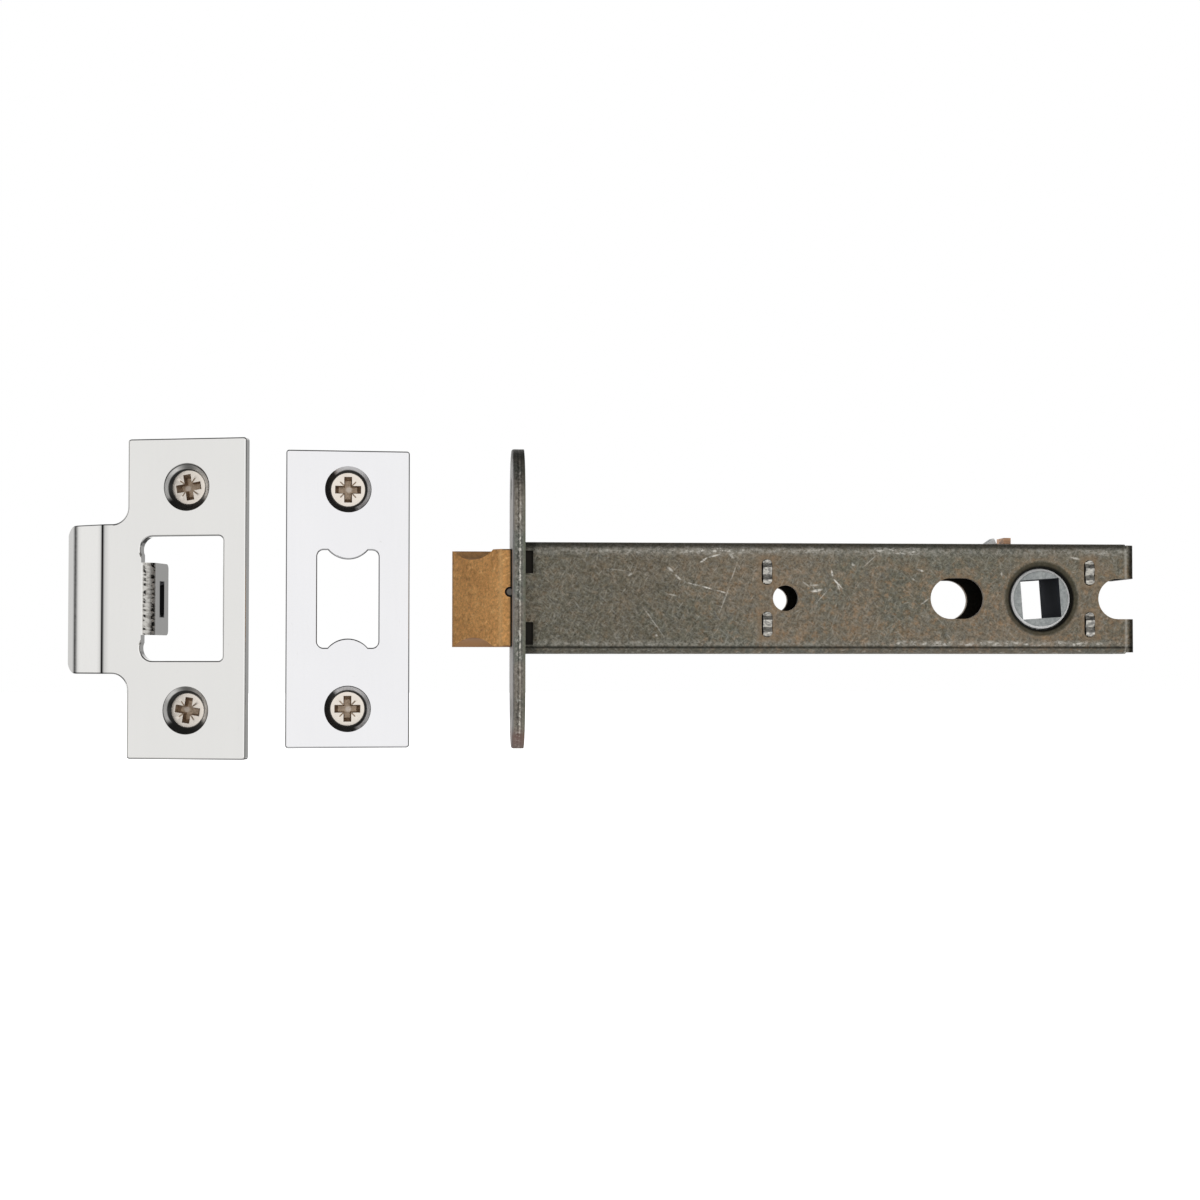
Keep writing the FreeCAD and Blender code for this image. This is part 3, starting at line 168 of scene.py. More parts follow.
class Shade:
    """A socket in a node tree. Arithmetic on shades adds Math nodes to that tree."""

    def __init__(self, tree, socket=None):
        self.tree = tree
        self.socket = socket

    def node(self, kind, settings=None, sockets=None, output=0):
        """Adds a node, sets it up, gives its sockets values or links and returns one output."""
        made = self.tree.nodes.new(kind)
        for name, setting in (settings or {}).items():
            if name == "stops":
                set_stops(made.color_ramp, setting)
            else:
                setattr(made, name, setting)
        for name, content in (sockets or {}).items():
            if isinstance(content, Shade):
                self.tree.links.new(content.socket, made.inputs[name])
            else:
                made.inputs[name].default_value = content
        return Shade(self.tree, made.outputs[output])

    def output(self, name):
        """Another output of the node that this shade comes from."""
        return Shade(self.tree, self.socket.node.outputs[name])

    def math(self, operation, *values):
        return self.node("ShaderNodeMath", {"operation": operation}, dict(enumerate(values)))

    def __add__(self, other):
        return self.math("ADD", self, other)

    __radd__ = __add__

    def __sub__(self, other):
        return self.math("SUBTRACT", self, other)

    def __rsub__(self, other):
        return self.math("SUBTRACT", other, self)

    def __mul__(self, other):
        return self.math("MULTIPLY", self, other)

    __rmul__ = __mul__

    def __truediv__(self, other):
        return self.math("DIVIDE", self, other)

    def __pow__(self, power):
        return self.math("POWER", self, power)

    def __neg__(self):
        return self.math("MULTIPLY", self, -1.0)

    def __abs__(self):
        return self.math("ABSOLUTE", self)

    def least(self, other):
        return self.math("MINIMUM", self, other)

    def most(self, other):
        return self.math("MAXIMUM", self, other)

    def rise(self, low, high):
        """0 at low and 1 at high, smooth between; low may be the larger one."""
        return self.node("ShaderNodeMapRange", {"interpolation_type": "SMOOTHSTEP"},
                         {"Value": self, "From Min": low, "From Max": high})

    def ridge(self, middle, half_width):
        """1 at middle, fading to 0 at half_width on both sides."""
        return abs(self - middle).rise(half_width, 0.0)

    def mix(self, first, second):
        """Colour between first and second by this shade."""
        return self.node("ShaderNodeMix", {"data_type": "RGBA"},
                         {0: self, 6: colour(first), 7: colour(second)}, 2)

    def tint(self, amount):
        """This colour made lighter or darker by an amount."""
        grey = self.node("ShaderNodeCombineColor", None, {0: amount, 1: amount, 2: amount})
        return self.node("ShaderNodeMix", {"data_type": "RGBA", "blend_type": "MULTIPLY"},
                         {0: 1.0, 6: self, 7: grey}, 2)

    def stretched(self, scale, turn=(0.0, 0.0, 0.0), shift=(0.0, 0.0, 0.0)):
        """A place measured from shift, turned back by turn, in units of scale."""
        return self.node("ShaderNodeMapping", {"vector_type": "TEXTURE"},
                         {"Vector": self, "Location": shift, "Rotation": turn, "Scale": scale})

    def moved(self, turn, shift):
        """A place measured from shift and turned back by turn."""
        return self.stretched((1.0, 1.0, 1.0), turn, shift)

    def cloud(self, size, detail, roughness, distortion=0.0):
        """Soft noise about 0.5 with spots of about that size in millimetres."""
        return self.node("ShaderNodeTexNoise", None,
                         {"Vector": self, "Scale": 1.0 / size, "Detail": detail, "Roughness": roughness,
                          "Distortion": distortion})

    def bump(self, depth, strength):
        """Surface normal for this height of 0 to 1 that is depth millimetres deep."""
        return self.node("ShaderNodeBump", None,
                         {"Strength": strength, "Distance": depth * MM, "Height": self})

    def axes(self):
        """X, Y and Z of a place."""
        first = self.node("ShaderNodeSeparateXYZ", None, {0: self})
        return first, first.output(1), first.output(2)

    def marks(self, length, width, lean, share, seed):
        """Short scratches in the X Z plane that lean from X towards Z by lean degrees."""
        across = self.stretched((length, 1.6, width), leaning(lean), (seed, 0.37 * seed, -seed))
        cell = across.node("ShaderNodeTexVoronoi", {"feature": "F1"}, {"Vector": across, "Scale": 1.0})
        chance = cell.node("ShaderNodeSeparateColor", None, {0: cell.output("Color")})
        return cell.rise(0.24, 0.084) * chance.rise(1.0 - share, 1.02 - share)

    def hatch(self, leans, length, width):
        """Dense fine scratches in the X Z plane that lean several ways."""
        found = None
        for index, lean in enumerate(leans):
            shift = (17.0 * index, 5.0 * index, 29.0 * index)
            lines = self.stretched((length, 1.5, width), leaning(lean), shift).cloud(1.0, 2.0, 0.6)
            lines = lines.rise(0.52, 0.74)
            found = found.most(lines) if found else lines
        return found

    def scratches(self, strokes):
        """Single scratches in the X Z plane, each thinning to its ends."""
        found = None
        for (left, low), (right, high), width, strength in strokes:
            size = (math.hypot(right - left, high - low) / 2, 1e4, width / 2)
            turn = (0.0, -math.atan2(high - low, right - left), 0.0)
            near = self.stretched(size, turn, ((left + right) / 2, 0.0, (low + high) / 2))
            away = near.node("ShaderNodeVectorMath", {"operation": "LENGTH"}, {0: near}, 1)
            line = away.rise(1.0, 0.35) * strength
            found = found.most(line) if found else line
        return found


def colour(shade):
    """A shade as it is, or three numbers with full alpha."""
    return shade if isinstance(shade, Shade) else (*shade[:3], 1.0)


def leaning(degrees):
    """The turn of a line that leans from X towards Z."""
    return 0.0, math.radians(-degrees), 0.0


def set_stops(ramp, stops):
    """Gives a ramp its stops, each a position and a grey."""
    while len(ramp.elements) > 1:
        ramp.elements.remove(ramp.elements[-1])
    for index, (position, grey) in enumerate(stops):
        stop = ramp.elements[0] if index == 0 else ramp.elements.new(position)
        stop.position = position
        stop.color = (grey, grey, grey, 1.0)


def distance(x, y):
    """Length of a flat offset."""
    return (x * x + y * y) ** 0.5


class Finish:
    """A new material with its place in millimetres and the way it faces."""

    def __init__(self, name):
        self.material = bpy.data.materials.new(name)
        self.material.use_nodes = True
        self.shader = self.material.node_tree.nodes["Principled BSDF"]
        start = Shade(self.material.node_tree)
        object_place = start.node("ShaderNodeTexCoord", None, None, "Object")
        self.place = object_place.node("ShaderNodeMapping", None,
                                       {"Vector": object_place, "Scale": (1000.0, 1000.0, 1000.0)})
        facing = start.node("ShaderNodeNewGeometry", None, None, "Normal")
        self.facing = facing.axes()
        self.x, self.y, self.z = self.place.axes()

    def set(self, **sockets):
        """Sets the shader's sockets to values or shades; base_color stands for Base Color."""
        for name, content in sockets.items():
            socket = self.shader.inputs[name.replace("_", " ").title()]
            if isinstance(content, Shade):
                self.material.node_tree.links.new(content.socket, socket)
            else:
                socket.default_value = content
        return self.material


def length(name, description, default):
    """A size in metres for a property group, given in millimetres."""
    return bpy.props.FloatProperty(name=name, description=description, default=default * MM, min=0.0,
                                   unit="LENGTH", precision=5)


def paint(name, description, default):
    """A colour for a property group."""
    return bpy.props.FloatVectorProperty(name=name, description=description, default=default, size=3,
                                         min=0.0, max=1.0, subtype="COLOR")


class LatchView(bpy.types.PropertyGroup):
    """Where the camera stands."""

    eye: bpy.props.FloatVectorProperty(name="Eye", description="Place of the camera", size=3,
                                       default=(-0.0116, -0.4144, -0.0122), subtype="TRANSLATION",
                                       unit="LENGTH")
    yaw: bpy.props.FloatProperty(name="Yaw", description="Turn to the right", subtype="ANGLE",
                                 default=math.radians(4.11))
    pitch: bpy.props.FloatProperty(name="Pitch", description="Tilt upwards", subtype="ANGLE",
                                   default=math.radians(1.65))
    lens: bpy.props.FloatProperty(name="Lens", description="Focal length", default=60.93, unit="CAMERA")
    floor: bpy.props.FloatProperty(name="Floor", description="Height of the floor", default=-0.12,
                                   unit="LENGTH")


class LatchSizes(bpy.types.PropertyGroup):
    """Sizes of the screws and springs."""

    head: length("Head", "Screw head diameter", 7.2)
    head_rim: length("Head rim", "Straight edge of a screw head", 0.2)
    shank: length("Shank", "Screw shank diameter", 3.4)
    core: length("Core", "Screw diameter between the threads", 2.5)
    screw: length("Screw", "Screw length", 20.0)
    point: length("Point", "Length of the screw's point", 4.0)
    thread: length("Thread", "Thread pitch", 1.6)
    recess: length("Recess", "Span of the cross recess at its mouth", 5.3)
    wing: length("Wing", "Width of a wing of the cross recess at its mouth", 1.6)
    recess_depth: length("Recess depth", "Depth of the cross recess", 1.4)
    bolt_spring: length("Bolt spring", "Outer diameter of the bolt spring", 8.0)
    bolt_wire: length("Bolt spring wire", "Wire of the bolt spring", 1.1)
    bolt_turns: bpy.props.FloatProperty(name="Bolt spring turns", description="Turns of the bolt spring",
                                        default=8.5)
    return_wire: length("Return spring wire", "Wire of the return spring", 1.0)
    return_rise: length("Return spring winding", "Length of the return spring's winding", 3.6)
    return_turns: bpy.props.FloatProperty(name="Return spring turns",
                                          description="Turns of the return spring", default=3.2083)
    hook: length("Hook", "Straight part of the return spring's hook", 2.2)
    hook_bend: length("Hook bend", "Bend radius of that hook", 1.0)
    leg: length("Leg", "Straight leg of the return spring", 7.75)
    leg_lean: bpy.props.FloatProperty(name="Leg lean", description="Lean of that leg to the roof",
                                      subtype="ANGLE", default=math.radians(15.0))


class LatchColours(bpy.types.PropertyGroup):
    """Colours of the finishes."""

    steel: paint("Steel", "Passivated sheet steel of the case", (0.218, 0.186, 0.136))
    olive: paint("Olive", "Greenish patches of the case", (0.178, 0.170, 0.128))
    slate: paint("Slate", "Blue grey patches of the case", (0.180, 0.184, 0.166))
    rust: paint("Rust", "Brown patches and halos of the case", (0.340, 0.225, 0.130))
    bare: paint("Bare steel", "Scratches and rubbed edges", (0.80, 0.77, 0.70))
    forend: paint("Forend", "Dark plate at the front", (0.290, 0.262, 0.222))
    stake: paint("Stake", "Chiselled ends of the cross plates", (0.34, 0.33, 0.31))
    brass: paint("Brass", "Latch bolt", (0.740, 0.400, 0.150))
    umber: paint("Umber", "Browner patches of the bolt", (0.600, 0.310, 0.112))
    pale_brass: paint("Pale brass", "Wisps and rubbed edges of the bolt", (0.900, 0.560, 0.240))
    # Tarnish; in the bolt's hollows also painted shade.
    tarnish_and_shade: paint("Tarnish", "Dark hollows of the bolt", (0.330, 0.180, 0.090))
    pin: paint("Pin", "Rubbed middle of the cross pin", (0.20, 0.18, 0.16))
    zinc: paint("Zinc", "Cast follower", (0.51, 0.53, 0.52))
    grain: paint("Grain", "Dark grains of the casting", (0.30, 0.32, 0.32))
    copper: paint("Copper", "Coppered tail bar", (0.72, 0.42, 0.24))
    chrome: paint("Chrome", "Cover plate", (0.86, 0.857, 0.872))
    strike: paint("Strike", "Strike plate", (0.86, 0.852, 0.832))
    nickel: paint("Nickel", "Wood screws", (0.86, 0.79, 0.71))
    drive: paint("Drive", "Inside of the cross recess", (0.58, 0.46, 0.35))
    wire: paint("Wire", "Spring wire", (0.42, 0.41, 0.39))
    floor: paint("Floor", "Plain floor", (1.0, 1.0, 1.0))


def dress(finish, *nodes):
    """Gives CAD nodes a finish."""
    for name in nodes:
        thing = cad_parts[name]
        if not thing.material_slots:
            thing.data.materials.append(finish)
        for slot in thing.material_slots:
            slot.material = finish


def case_sheet(steel, colours, mottle, grit):
    """The plain sheet: olive and brown patches, redder specks towards the rear."""
    place, x, z = steel.place, steel.x, steel.z
    patches = place.cloud(17.0, 3.0, 0.55, 0.4)
    specks = place.moved((0.7, 0.1, 0.4), (13.0, 5.0, 43.0)).cloud(1.3, 3.0, 0.7)
    warm = 0.35 + 0.65 * (x.rise(24.0, 58.0) * z.rise(9.5, 4.0))
    tone = patches.rise(0.36, 0.64).mix(colours.olive, colours.steel)
    tone = (x.rise(46.0, 8.0) * 0.55).mix(tone, colours.olive)
    tone = (mottle.rise(0.48, 0.72) * warm * 0.55).mix(tone, colours.rust)
    tone = (specks.rise(0.50, 0.68) * warm * 0.70).mix(tone, colours.rust)
    tone = (specks.rise(0.46, 0.28) * 0.60).mix(tone, colours.slate)
    return tone.tint(2.05 * grit + 0.24 * mottle - 0.12 - 0.15 * x.rise(52.0, 26.0))


def case_scratches(steel, grit):
    """Faint scratches all over and bold ones on the near side plate."""
    place = steel.place
    faint = place.marks(5.0, 0.50, 52.0, 0.10, 57.0).most(place.marks(6.0, 0.46, -56.0, 0.10, 71.0))
    faint = faint.most(place.marks(3.2, 0.70, 12.0, 0.07, 89.0)) * grit.rise(0.30, 0.62)
    near = steel.y.rise(0.0, -4.0)
    bold = place.scratches(NEAR_SCRATCHES) * near * (0.25 + 0.75 * grit.rise(0.36, 0.56))
    return faint, bold


def rubbed_folds(steel, colours, tone, grit, flecks):
    """Scuffs along the upper and the lower fold, a painted dark reflection line on the lower fold and a
    duller strip under it.
    """
    place, x, z = steel.place, steel.x, steel.z
    along = place.stretched((17.0, 20.0, 17.0), shift=(5.0, 0.0, 3.0)).cloud(1.0, 2.0, 0.5)
    rubbed = x.ridge(41.0, 14.0).most(x.ridge(79.0, 13.0)).most(x.ridge(121.0, 6.0) * 0.7)
    rubbed = z.rise(0.0, 1.0).mix(along.rise(0.42, 0.60), rubbed.most(along.rise(0.50, 0.66) * 0.5))
    band = z.ridge(UPPER_FOLD, 1.4).most(z.ridge(LOWER_FOLD, 0.9) * 0.9)
    tone = (abs(z).rise(8.0, 9.6) * 0.25).mix(tone, colours.slate)
    scuffs = 0.22 * grit.rise(0.40, 0.62) + (0.10 + 0.80 * flecks.rise(0.53, 0.63)) * rubbed
    tone = (band * scuffs).mix(tone, colours.bare)
    # Painted dark reflection line along the curve of the lower fold.
    fold_shade_line = z.ridge(LOWER_FOLD_SHADE_LINE, 0.42) * (0.45 + 0.5 * flecks)
    strip = z.rise(LOWER_FOLD_SHADE_LINE - 0.25, LOWER_FOLD_SHADE_LINE - 0.65)
    tone = tone.tint(1.0 - fold_shade_line - 0.22 * strip)
    return (strip * 0.40 * flecks.rise(0.54, 0.72)).mix(tone, colours.bare)


def case_openings(steel, colours, tone, grit):
    """Brown halos round the staked ends, the hub and the openings; painted shade as a dark ring on the hub's
    rolled rim and a near-black gap round the hub.
    """
    x, z = steel.x, steel.z
    stake = abs(x - FRONT_STAKE).least(abs(x - REAR_STAKE)) - STAKE_HALF_WIDTH
    stake = stake.most(abs(abs(z) - STAKE_LEVEL) - STAKE_HALF_HEIGHT)
    halo = stake.rise(1.5, 0.1) * (0.30 + 0.70 * grit)
    tone = (halo * 0.60).mix(tone, colours.rust)
    hub = distance(x - SPINDLE, z)
    tone = (hub.ridge(8.05, 0.45) * (0.10 + 0.30 * grit)).mix(tone, colours.rust)
    # Painted shade: a dark ring on the hub's inward-rolled rim, then a near-black gap round the hub.
    tone = (hub.rise(7.85, 7.30) * 0.80).mix(tone, HUB_RING_SHADE)
    tone = (hub.rise(6.95, 6.5) * 0.94).mix(tone, SHADOW)
    sight = abs(distance(x - SIGHT_HOLE, z) - SIGHT_RADIUS)
    slot = abs(distance((SLOT_FRONT - x).most(x - SLOT_REAR).most(0.0), z) - FIXING_RADIUS)
    notch = abs(distance((NOTCH_FRONT - x).most(0.0), z) - FIXING_RADIUS)
    rim = sight.least(slot).least(notch)
    return (rim.rise(0.9, 0.1) * (0.05 + 0.45 * grit)).mix(tone, colours.rust)


def case_ends(steel, colours, tone, flecks):
    """Painted highlight along the rear fold, broken up by flecks, and painted shade behind it, on the front
    shoulders and on the inner faces.
    """
    x, height = steel.x, abs(steel.z)
    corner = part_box("case_shell")[1] / MM
    # Painted highlight along the rear fold, broken up by flecks.
    tone = (x.ridge(REAR_FOLD, 0.45) * (0.10 + 0.45 * flecks)).mix(tone, colours.bare)
    # Painted shade on the rear flange behind the fold.
    tone = tone.tint(1.0 - x.rise(REAR_FOLD + 0.3, REAR_FOLD + 0.9) * 0.45)
    # Painted shade in the recessed shoulders behind the forend.
    shoulder = x.rise(5.4, 4.2) * height.rise(4.6, 5.2)
    tone = tone.tint(1.0 - shoulder * 0.45)
    # Painted shade on the inner faces of the case.
    inside = abs(steel.y).rise(INNER_FACE + 0.15, INNER_FACE) * height.rise(corner.z - 0.5, corner.z - 0.9)
    inside = inside * x.rise(corner.x - 0.5, corner.x - 0.9)
    return (inside * 0.90).mix(tone, INSIDE_SHADE_AND_PIN_RIM)


def case_steel(colours):
    """Brown passivated sheet: hatched with fine scratches, faintly mottled, rubbed along the folds."""
    steel = Finish("case_steel")
    place = steel.place
    mottle = place.moved((0.3, 0.5, 0.2), (31.0, 7.0, 19.0)).cloud(4.5, 4.0, 0.65, 0.3)
    grit = place.cloud(0.55, 3.0, 0.75)
    flecks = place.stretched((1.5, 1.4, 0.6)).cloud(1.0, 3.0, 0.75)
    hatch = place.hatch((38.0, -43.0, 68.0, -15.0), 1.7, 0.36)
    faint, bold = case_scratches(steel, grit)

    tone = case_sheet(steel, colours, mottle, grit)
    tone = (hatch * (0.03 + 0.34 * grit)).mix(tone, colours.bare)
    tone = (faint * 0.30).mix(tone, colours.bare)
    tone = bold.mix(tone, colours.bare)
    tone = rubbed_folds(steel, colours, tone, grit, flecks)
    tone = case_openings(steel, colours, tone, grit)
    tone = case_ends(steel, colours, tone, flecks)
    relief = 0.6 * grit + 0.4 * hatch - 0.6 * bold
    return steel.set(base_color=tone, metallic=1.0, roughness=0.46 + 0.12 * mottle - 0.16 * bold,
                     normal=relief.bump(0.025, 0.5))


def forend_steel(colours):
    """Dark plate with speckled, streaked edges, rubbed bright along the front, and painted shade on its
    rounded upper end.
    """
    steel = Finish("forend_steel")
    place, x, z = steel.place, steel.x, steel.z
    grit = place.cloud(0.6, 3.0, 0.75)
    patches = place.cloud(7.0, 3.0, 0.6, 0.4)
    chips = place.stretched((0.55, 0.7, 0.9)).cloud(1.0, 2.0, 0.7)
    tone = patches.rise(0.40, 0.62).mix(colours.forend, FOREND_PATCH)
    tone = tone.tint(0.10 + 1.75 * grit)
    sheared = x.ridge(1.25, 1.0) * chips.rise(0.52, 0.62) * (0.45 + 0.55 * patches.rise(0.30, 0.55))
    tone = (sheared * 0.70).mix(tone, colours.bare)
    tone = (x.ridge(1.0, 0.9) * chips.rise(0.44, 0.34) * 0.60).mix(tone, FOREND_CHIP)
    streaks = 0.45 * x.ridge(1.12, 0.28) - 0.45 * x.ridge(1.45, 0.26) + 0.35 * x.ridge(1.78, 0.24)
    tone = tone.tint(1.0 - streaks)
    front, back = x.rise(0.45, 0.10), x.rise(1.8, 2.3)
    tone = (front * (0.25 + 0.30 * grit)).mix(tone, FOREND_FRONT)
    tone = (back * (0.20 + 0.5 * patches)).mix(tone, FOREND_BACK)
    upper, lower = z.rise(26.0, 29.0), z.rise(-25.5, -28.0)
    # Painted shade: the rounded upper end darkened.
    tone = (upper * 0.65).mix(tone, FOREND_TOP_SHADE)
    tone = (lower * (0.3 + 0.6 * patches)).mix(tone, FOREND_FOOT)
    return steel.set(base_color=tone, metallic=1.0, roughness=0.42 + 0.2 * grit,
                     normal=(0.6 * grit + 0.4 * chips).bump(0.05, 0.7))


def stake_steel(colours):
    """Punched plates, bright and torn at their staked ends, duller inside the case."""
    steel = Finish("stake_steel")
    place = steel.place
    torn = place.stretched((0.9, 0.9, 0.5)).cloud(1.0, 2.0, 0.6)
    grit = place.cloud(0.5, 2.0, 0.7)
    tone = torn.rise(0.36, 0.60).mix(colours.stake, colours.bare)
    tone = tone.tint(0.60 + 0.6 * grit)
    inside = abs(steel.y).rise(7.2, 6.6)
    tone = (inside * 0.85).mix(tone, colours.slate)
    return steel.set(base_color=tone, metallic=1.0, roughness=0.24 + 0.2 * grit,
                     normal=torn.bump(0.06, 0.5))


def bolt_brass(colours):
    """Dull brown brass: fine grain, pale diagonal wisps, tarnish and painted shade in the hollows, and
    painted shade where it runs inside the case.
    """
    brass = Finish("bolt_brass")
    place, x, z = brass.place, brass.x, brass.z
    clouds = place.cloud(7.0, 3.0, 0.55, 0.4)
    wisps = place.stretched((3.4, 1.2, 0.8), leaning(27.0)).cloud(1.0, 3.0, 0.68)
    grit = place.cloud(0.6, 3.0, 0.75)
    tone = clouds.rise(0.30, 0.68).mix(colours.umber, colours.brass)
    tone = (wisps.rise(0.52, 0.70) * 0.52).mix(tone, colours.pale_brass)
    tone = (wisps.rise(0.46, 0.28) * 0.50).mix(tone, colours.tarnish_and_shade)
    tone = tone.tint(0.15 + 1.70 * grit)
    # Tarnish and painted shade on the faces of the hollows, heavier on the lower ones.
    hollow = abs(brass.facing[2]).rise(0.20, 0.60)
    tone = (hollow * (0.30 + 0.60 * z.rise(0.0, -1.0))).mix(tone, colours.tarnish_and_shade)
    tone = (x.ridge(-2.3, 0.7) * (0.25 + 0.4 * grit)).mix(tone, colours.pale_brass)
    edge = x.rise(-11.5, -12.0).most(abs(z).rise(9.5, 9.85))
    tone = (edge * 0.55).mix(tone, colours.tarnish_and_shade)
    # Painted shade: near black where the bolt runs inside the forend and case.
    tone = x.rise(-0.55, -0.20).mix(tone, BOLT_INSIDE_SHADE)
    metallic = 1.0 - 0.7 * hollow * z.rise(0.0, 1.0)
    return brass.set(base_color=tone, metallic=metallic, roughness=0.36 + 0.14 * clouds,
                     normal=(0.6 * grit + 0.4 * wisps).bump(0.03, 0.5))


def pin_steel(colours):
    """Dark pin, rubbed grey in the middle of its end."""
    steel = Finish("pin_steel")
    low, high = (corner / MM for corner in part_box("bolt_pin"))
    middle = (low + high) / 2
    grit = steel.place.cloud(0.4, 3.0, 0.7)
    away = distance(steel.x - middle.x, steel.z - middle.z)
    # Near black towards the rim of the pin's end, grey in the middle.
    tone = away.rise(0.50, 0.80).mix(colours.pin, INSIDE_SHADE_AND_PIN_RIM)
    return steel.set(base_color=tone.tint(0.6 + 0.8 * grit), metallic=1.0, roughness=0.35 + 0.2 * grit,
                     normal=grit.bump(0.03, 0.6))


def tail_copper(colours):
    """Coppered strip with dark drawn lines."""
    copper = Finish("tail_copper")
    lines = copper.place.stretched((9.0, 0.5, 0.5)).cloud(1.0, 3.0, 0.6)
    grit = copper.place.cloud(0.5, 3.0, 0.7)
    tone = lines.rise(0.38, 0.60).mix(DRAWN_COPPER, colours.copper)
    tone = tone.tint(0.65 + 0.7 * grit)
    return copper.set(base_color=tone, metallic=1.0, roughness=0.34 + 0.2 * grit,
                      normal=lines.bump(0.02, 0.5))


def follower_zinc(colours):
    """Grainy grey casting with a turned chamfer, bare metal painted near white as a highlight, and painted
    shade in the spindle hole.
    """
    zinc = Finish("follower_zinc")
    place = zinc.place
    grains = place.cloud(0.62, 3.0, 0.75)
    patches = place.cloud(4.0, 3.0, 0.6)
    tone = grains.rise(0.34, 0.66).mix(colours.grain, colours.zinc)
    tone = (patches.rise(0.62, 0.42) * 0.30).mix(tone, colours.grain)
    ring = distance(zinc.x - SPINDLE, zinc.z)
    wall = abs(zinc.facing[1]).rise(0.6, 0.3)
    chamfer = ring.rise(5.58, 5.74) * abs(zinc.facing[1]).rise(0.2, 0.4)
    # Bare turned chamfer painted near white and less metallic: a painted highlight.
    tone = (chamfer * (0.80 + 0.20 * grains)).mix(tone, CHAMFER_HIGHLIGHT)
    hole = wall * ring.rise(5.80, 5.70)
    # Painted shade on the walls of the spindle hole.
    tone = (hole * 0.97).mix(tone, SOCKET_WALL_SHADE)
    roughness = (0.36 + 0.25 * grains).most(hole)
    return zinc.set(base_color=tone, metallic=1.0 - 0.85 * chamfer, roughness=roughness,
                    normal=grains.bump(0.05, 0.6))


def from_screw(finish):
    """How far a place is from the nearest screw's axis, across the plate and up it."""
    cover, strike = (plate["middle"][0] for plate in PLATES.values())
    return abs(finish.x - cover).least(abs(finish.x - strike)), abs(finish.z) - SCREW_ROW


def strike_bends(chrome, tone, front, outside):
    """Ragged bend of the tang, painted shade along the folds of the lip and broken painted dark lines along
    both; also where the tang is.
    """
    x, aside = chrome.x, chrome.facing[0]
    middle = PLATES["strike_plate"]["middle"][0]
    teeth = chrome.place.stretched((1.4, 1.4, 0.6), (0.0, 0.2, 0.0)).cloud(1.0, 2.0, 0.6)
    tang = aside.rise(-0.16, -0.06) * aside.rise(0.93, 0.86) * abs(chrome.z).rise(9.6, 9.2)
    tang = tang * x.rise(middle, middle - 2.0) * front
    tone = (tang * 0.90).mix(tone, teeth.rise(0.40, 0.62).mix(TANG_PALE, TANG_DARK))
    inner, outer = LIP_FOLDS
    # Painted shade along both folds of the lip.
    tone = tone.tint(1.0 - 0.26 * x.ridge(inner + 0.15, 1.5) - 0.18 * x.ridge(outer + 0.26, 1.2))
    # Painted dark lines along the lip's folds and the tang's bends, broken up by noise.
    fold_shade_lines = x.ridge(inner, 0.55).most(x.ridge(outer, 0.80) * (0.70 + 0.35 * teeth)) * front
    fold_shade_lines = fold_shade_lines.most(abs(aside - 0.70).rise(0.17, 0.08) * teeth.rise(0.46, 0.56) * tang)
    fold_shade_lines = fold_shade_lines.most(abs(aside - 0.06).rise(0.14, 0.06) * teeth.rise(0.48, 0.58) * tang)
    return (fold_shade_lines * outside * 0.95).mix(tone, BEND_SHADE), tang


def plate_edges(chrome, tone, strike, outside):
    """Painted shade on the rounded edges, only the upper and lower ones on the strike plate."""
    aside, over, upward = chrome.facing
    rounded = (-over).rise(0.93, 0.75) * (-over).rise(0.05, 0.30) * outside
    rounded = rounded * abs(upward).rise(0.20, 0.45).most(abs(aside).rise(0.30, 0.55) * (1.0 - strike))
    # Painted shade on the rounded edges.
    return (rounded * 0.85).mix(tone, PLATE_EDGE_SHADE)


def countersinks(chrome, tone, strike, front, radius):
    """Countersinks, with painted shade towards one side and round both rims; also where they are."""
    aside, over, upward = chrome.facing
    sink = (-over).rise(0.95, 0.85) * radius.rise(5.1, 4.9) * front
    shaded = (0.85 * aside + 0.5 * upward).rise(0.02, 0.22) * (1.0 - strike)
    shaded = shaded.most(abs(upward + 0.15).rise(0.42, 0.62) * strike)
    shaded = shaded.most(radius.ridge(4.80, 0.24)).most(radius.rise(4.10, 3.85))
    # Painted shade in the countersinks.
    return (sink * shaded * 0.95).mix(tone, SHADOW), sink


def slotted_tang(chrome, tone):
    """Painted shade on the walls of the slot in the strike plate's tang."""
    strike = PLATES["strike_plate"]
    turn = (0.0, 0.0, math.radians(strike["tilt"]))
    along, depth, up = chrome.place.moved(turn, (*strike["middle"], 0.0)).axes()
    across, behind = TANG_SLOT["middle"]
    half_width, half_depth = TANG_SLOT["half"]
    slot = (abs(depth - behind) - half_depth).most(abs(up) - TANG_SLOT["half_height"])
    slot = slot.most(abs(along - across) - half_width)
    # Painted shade on the slot's walls.
    return (slot.rise(0.16, 0.02) * 0.95).mix(tone, SLOT_WALL_SHADE)


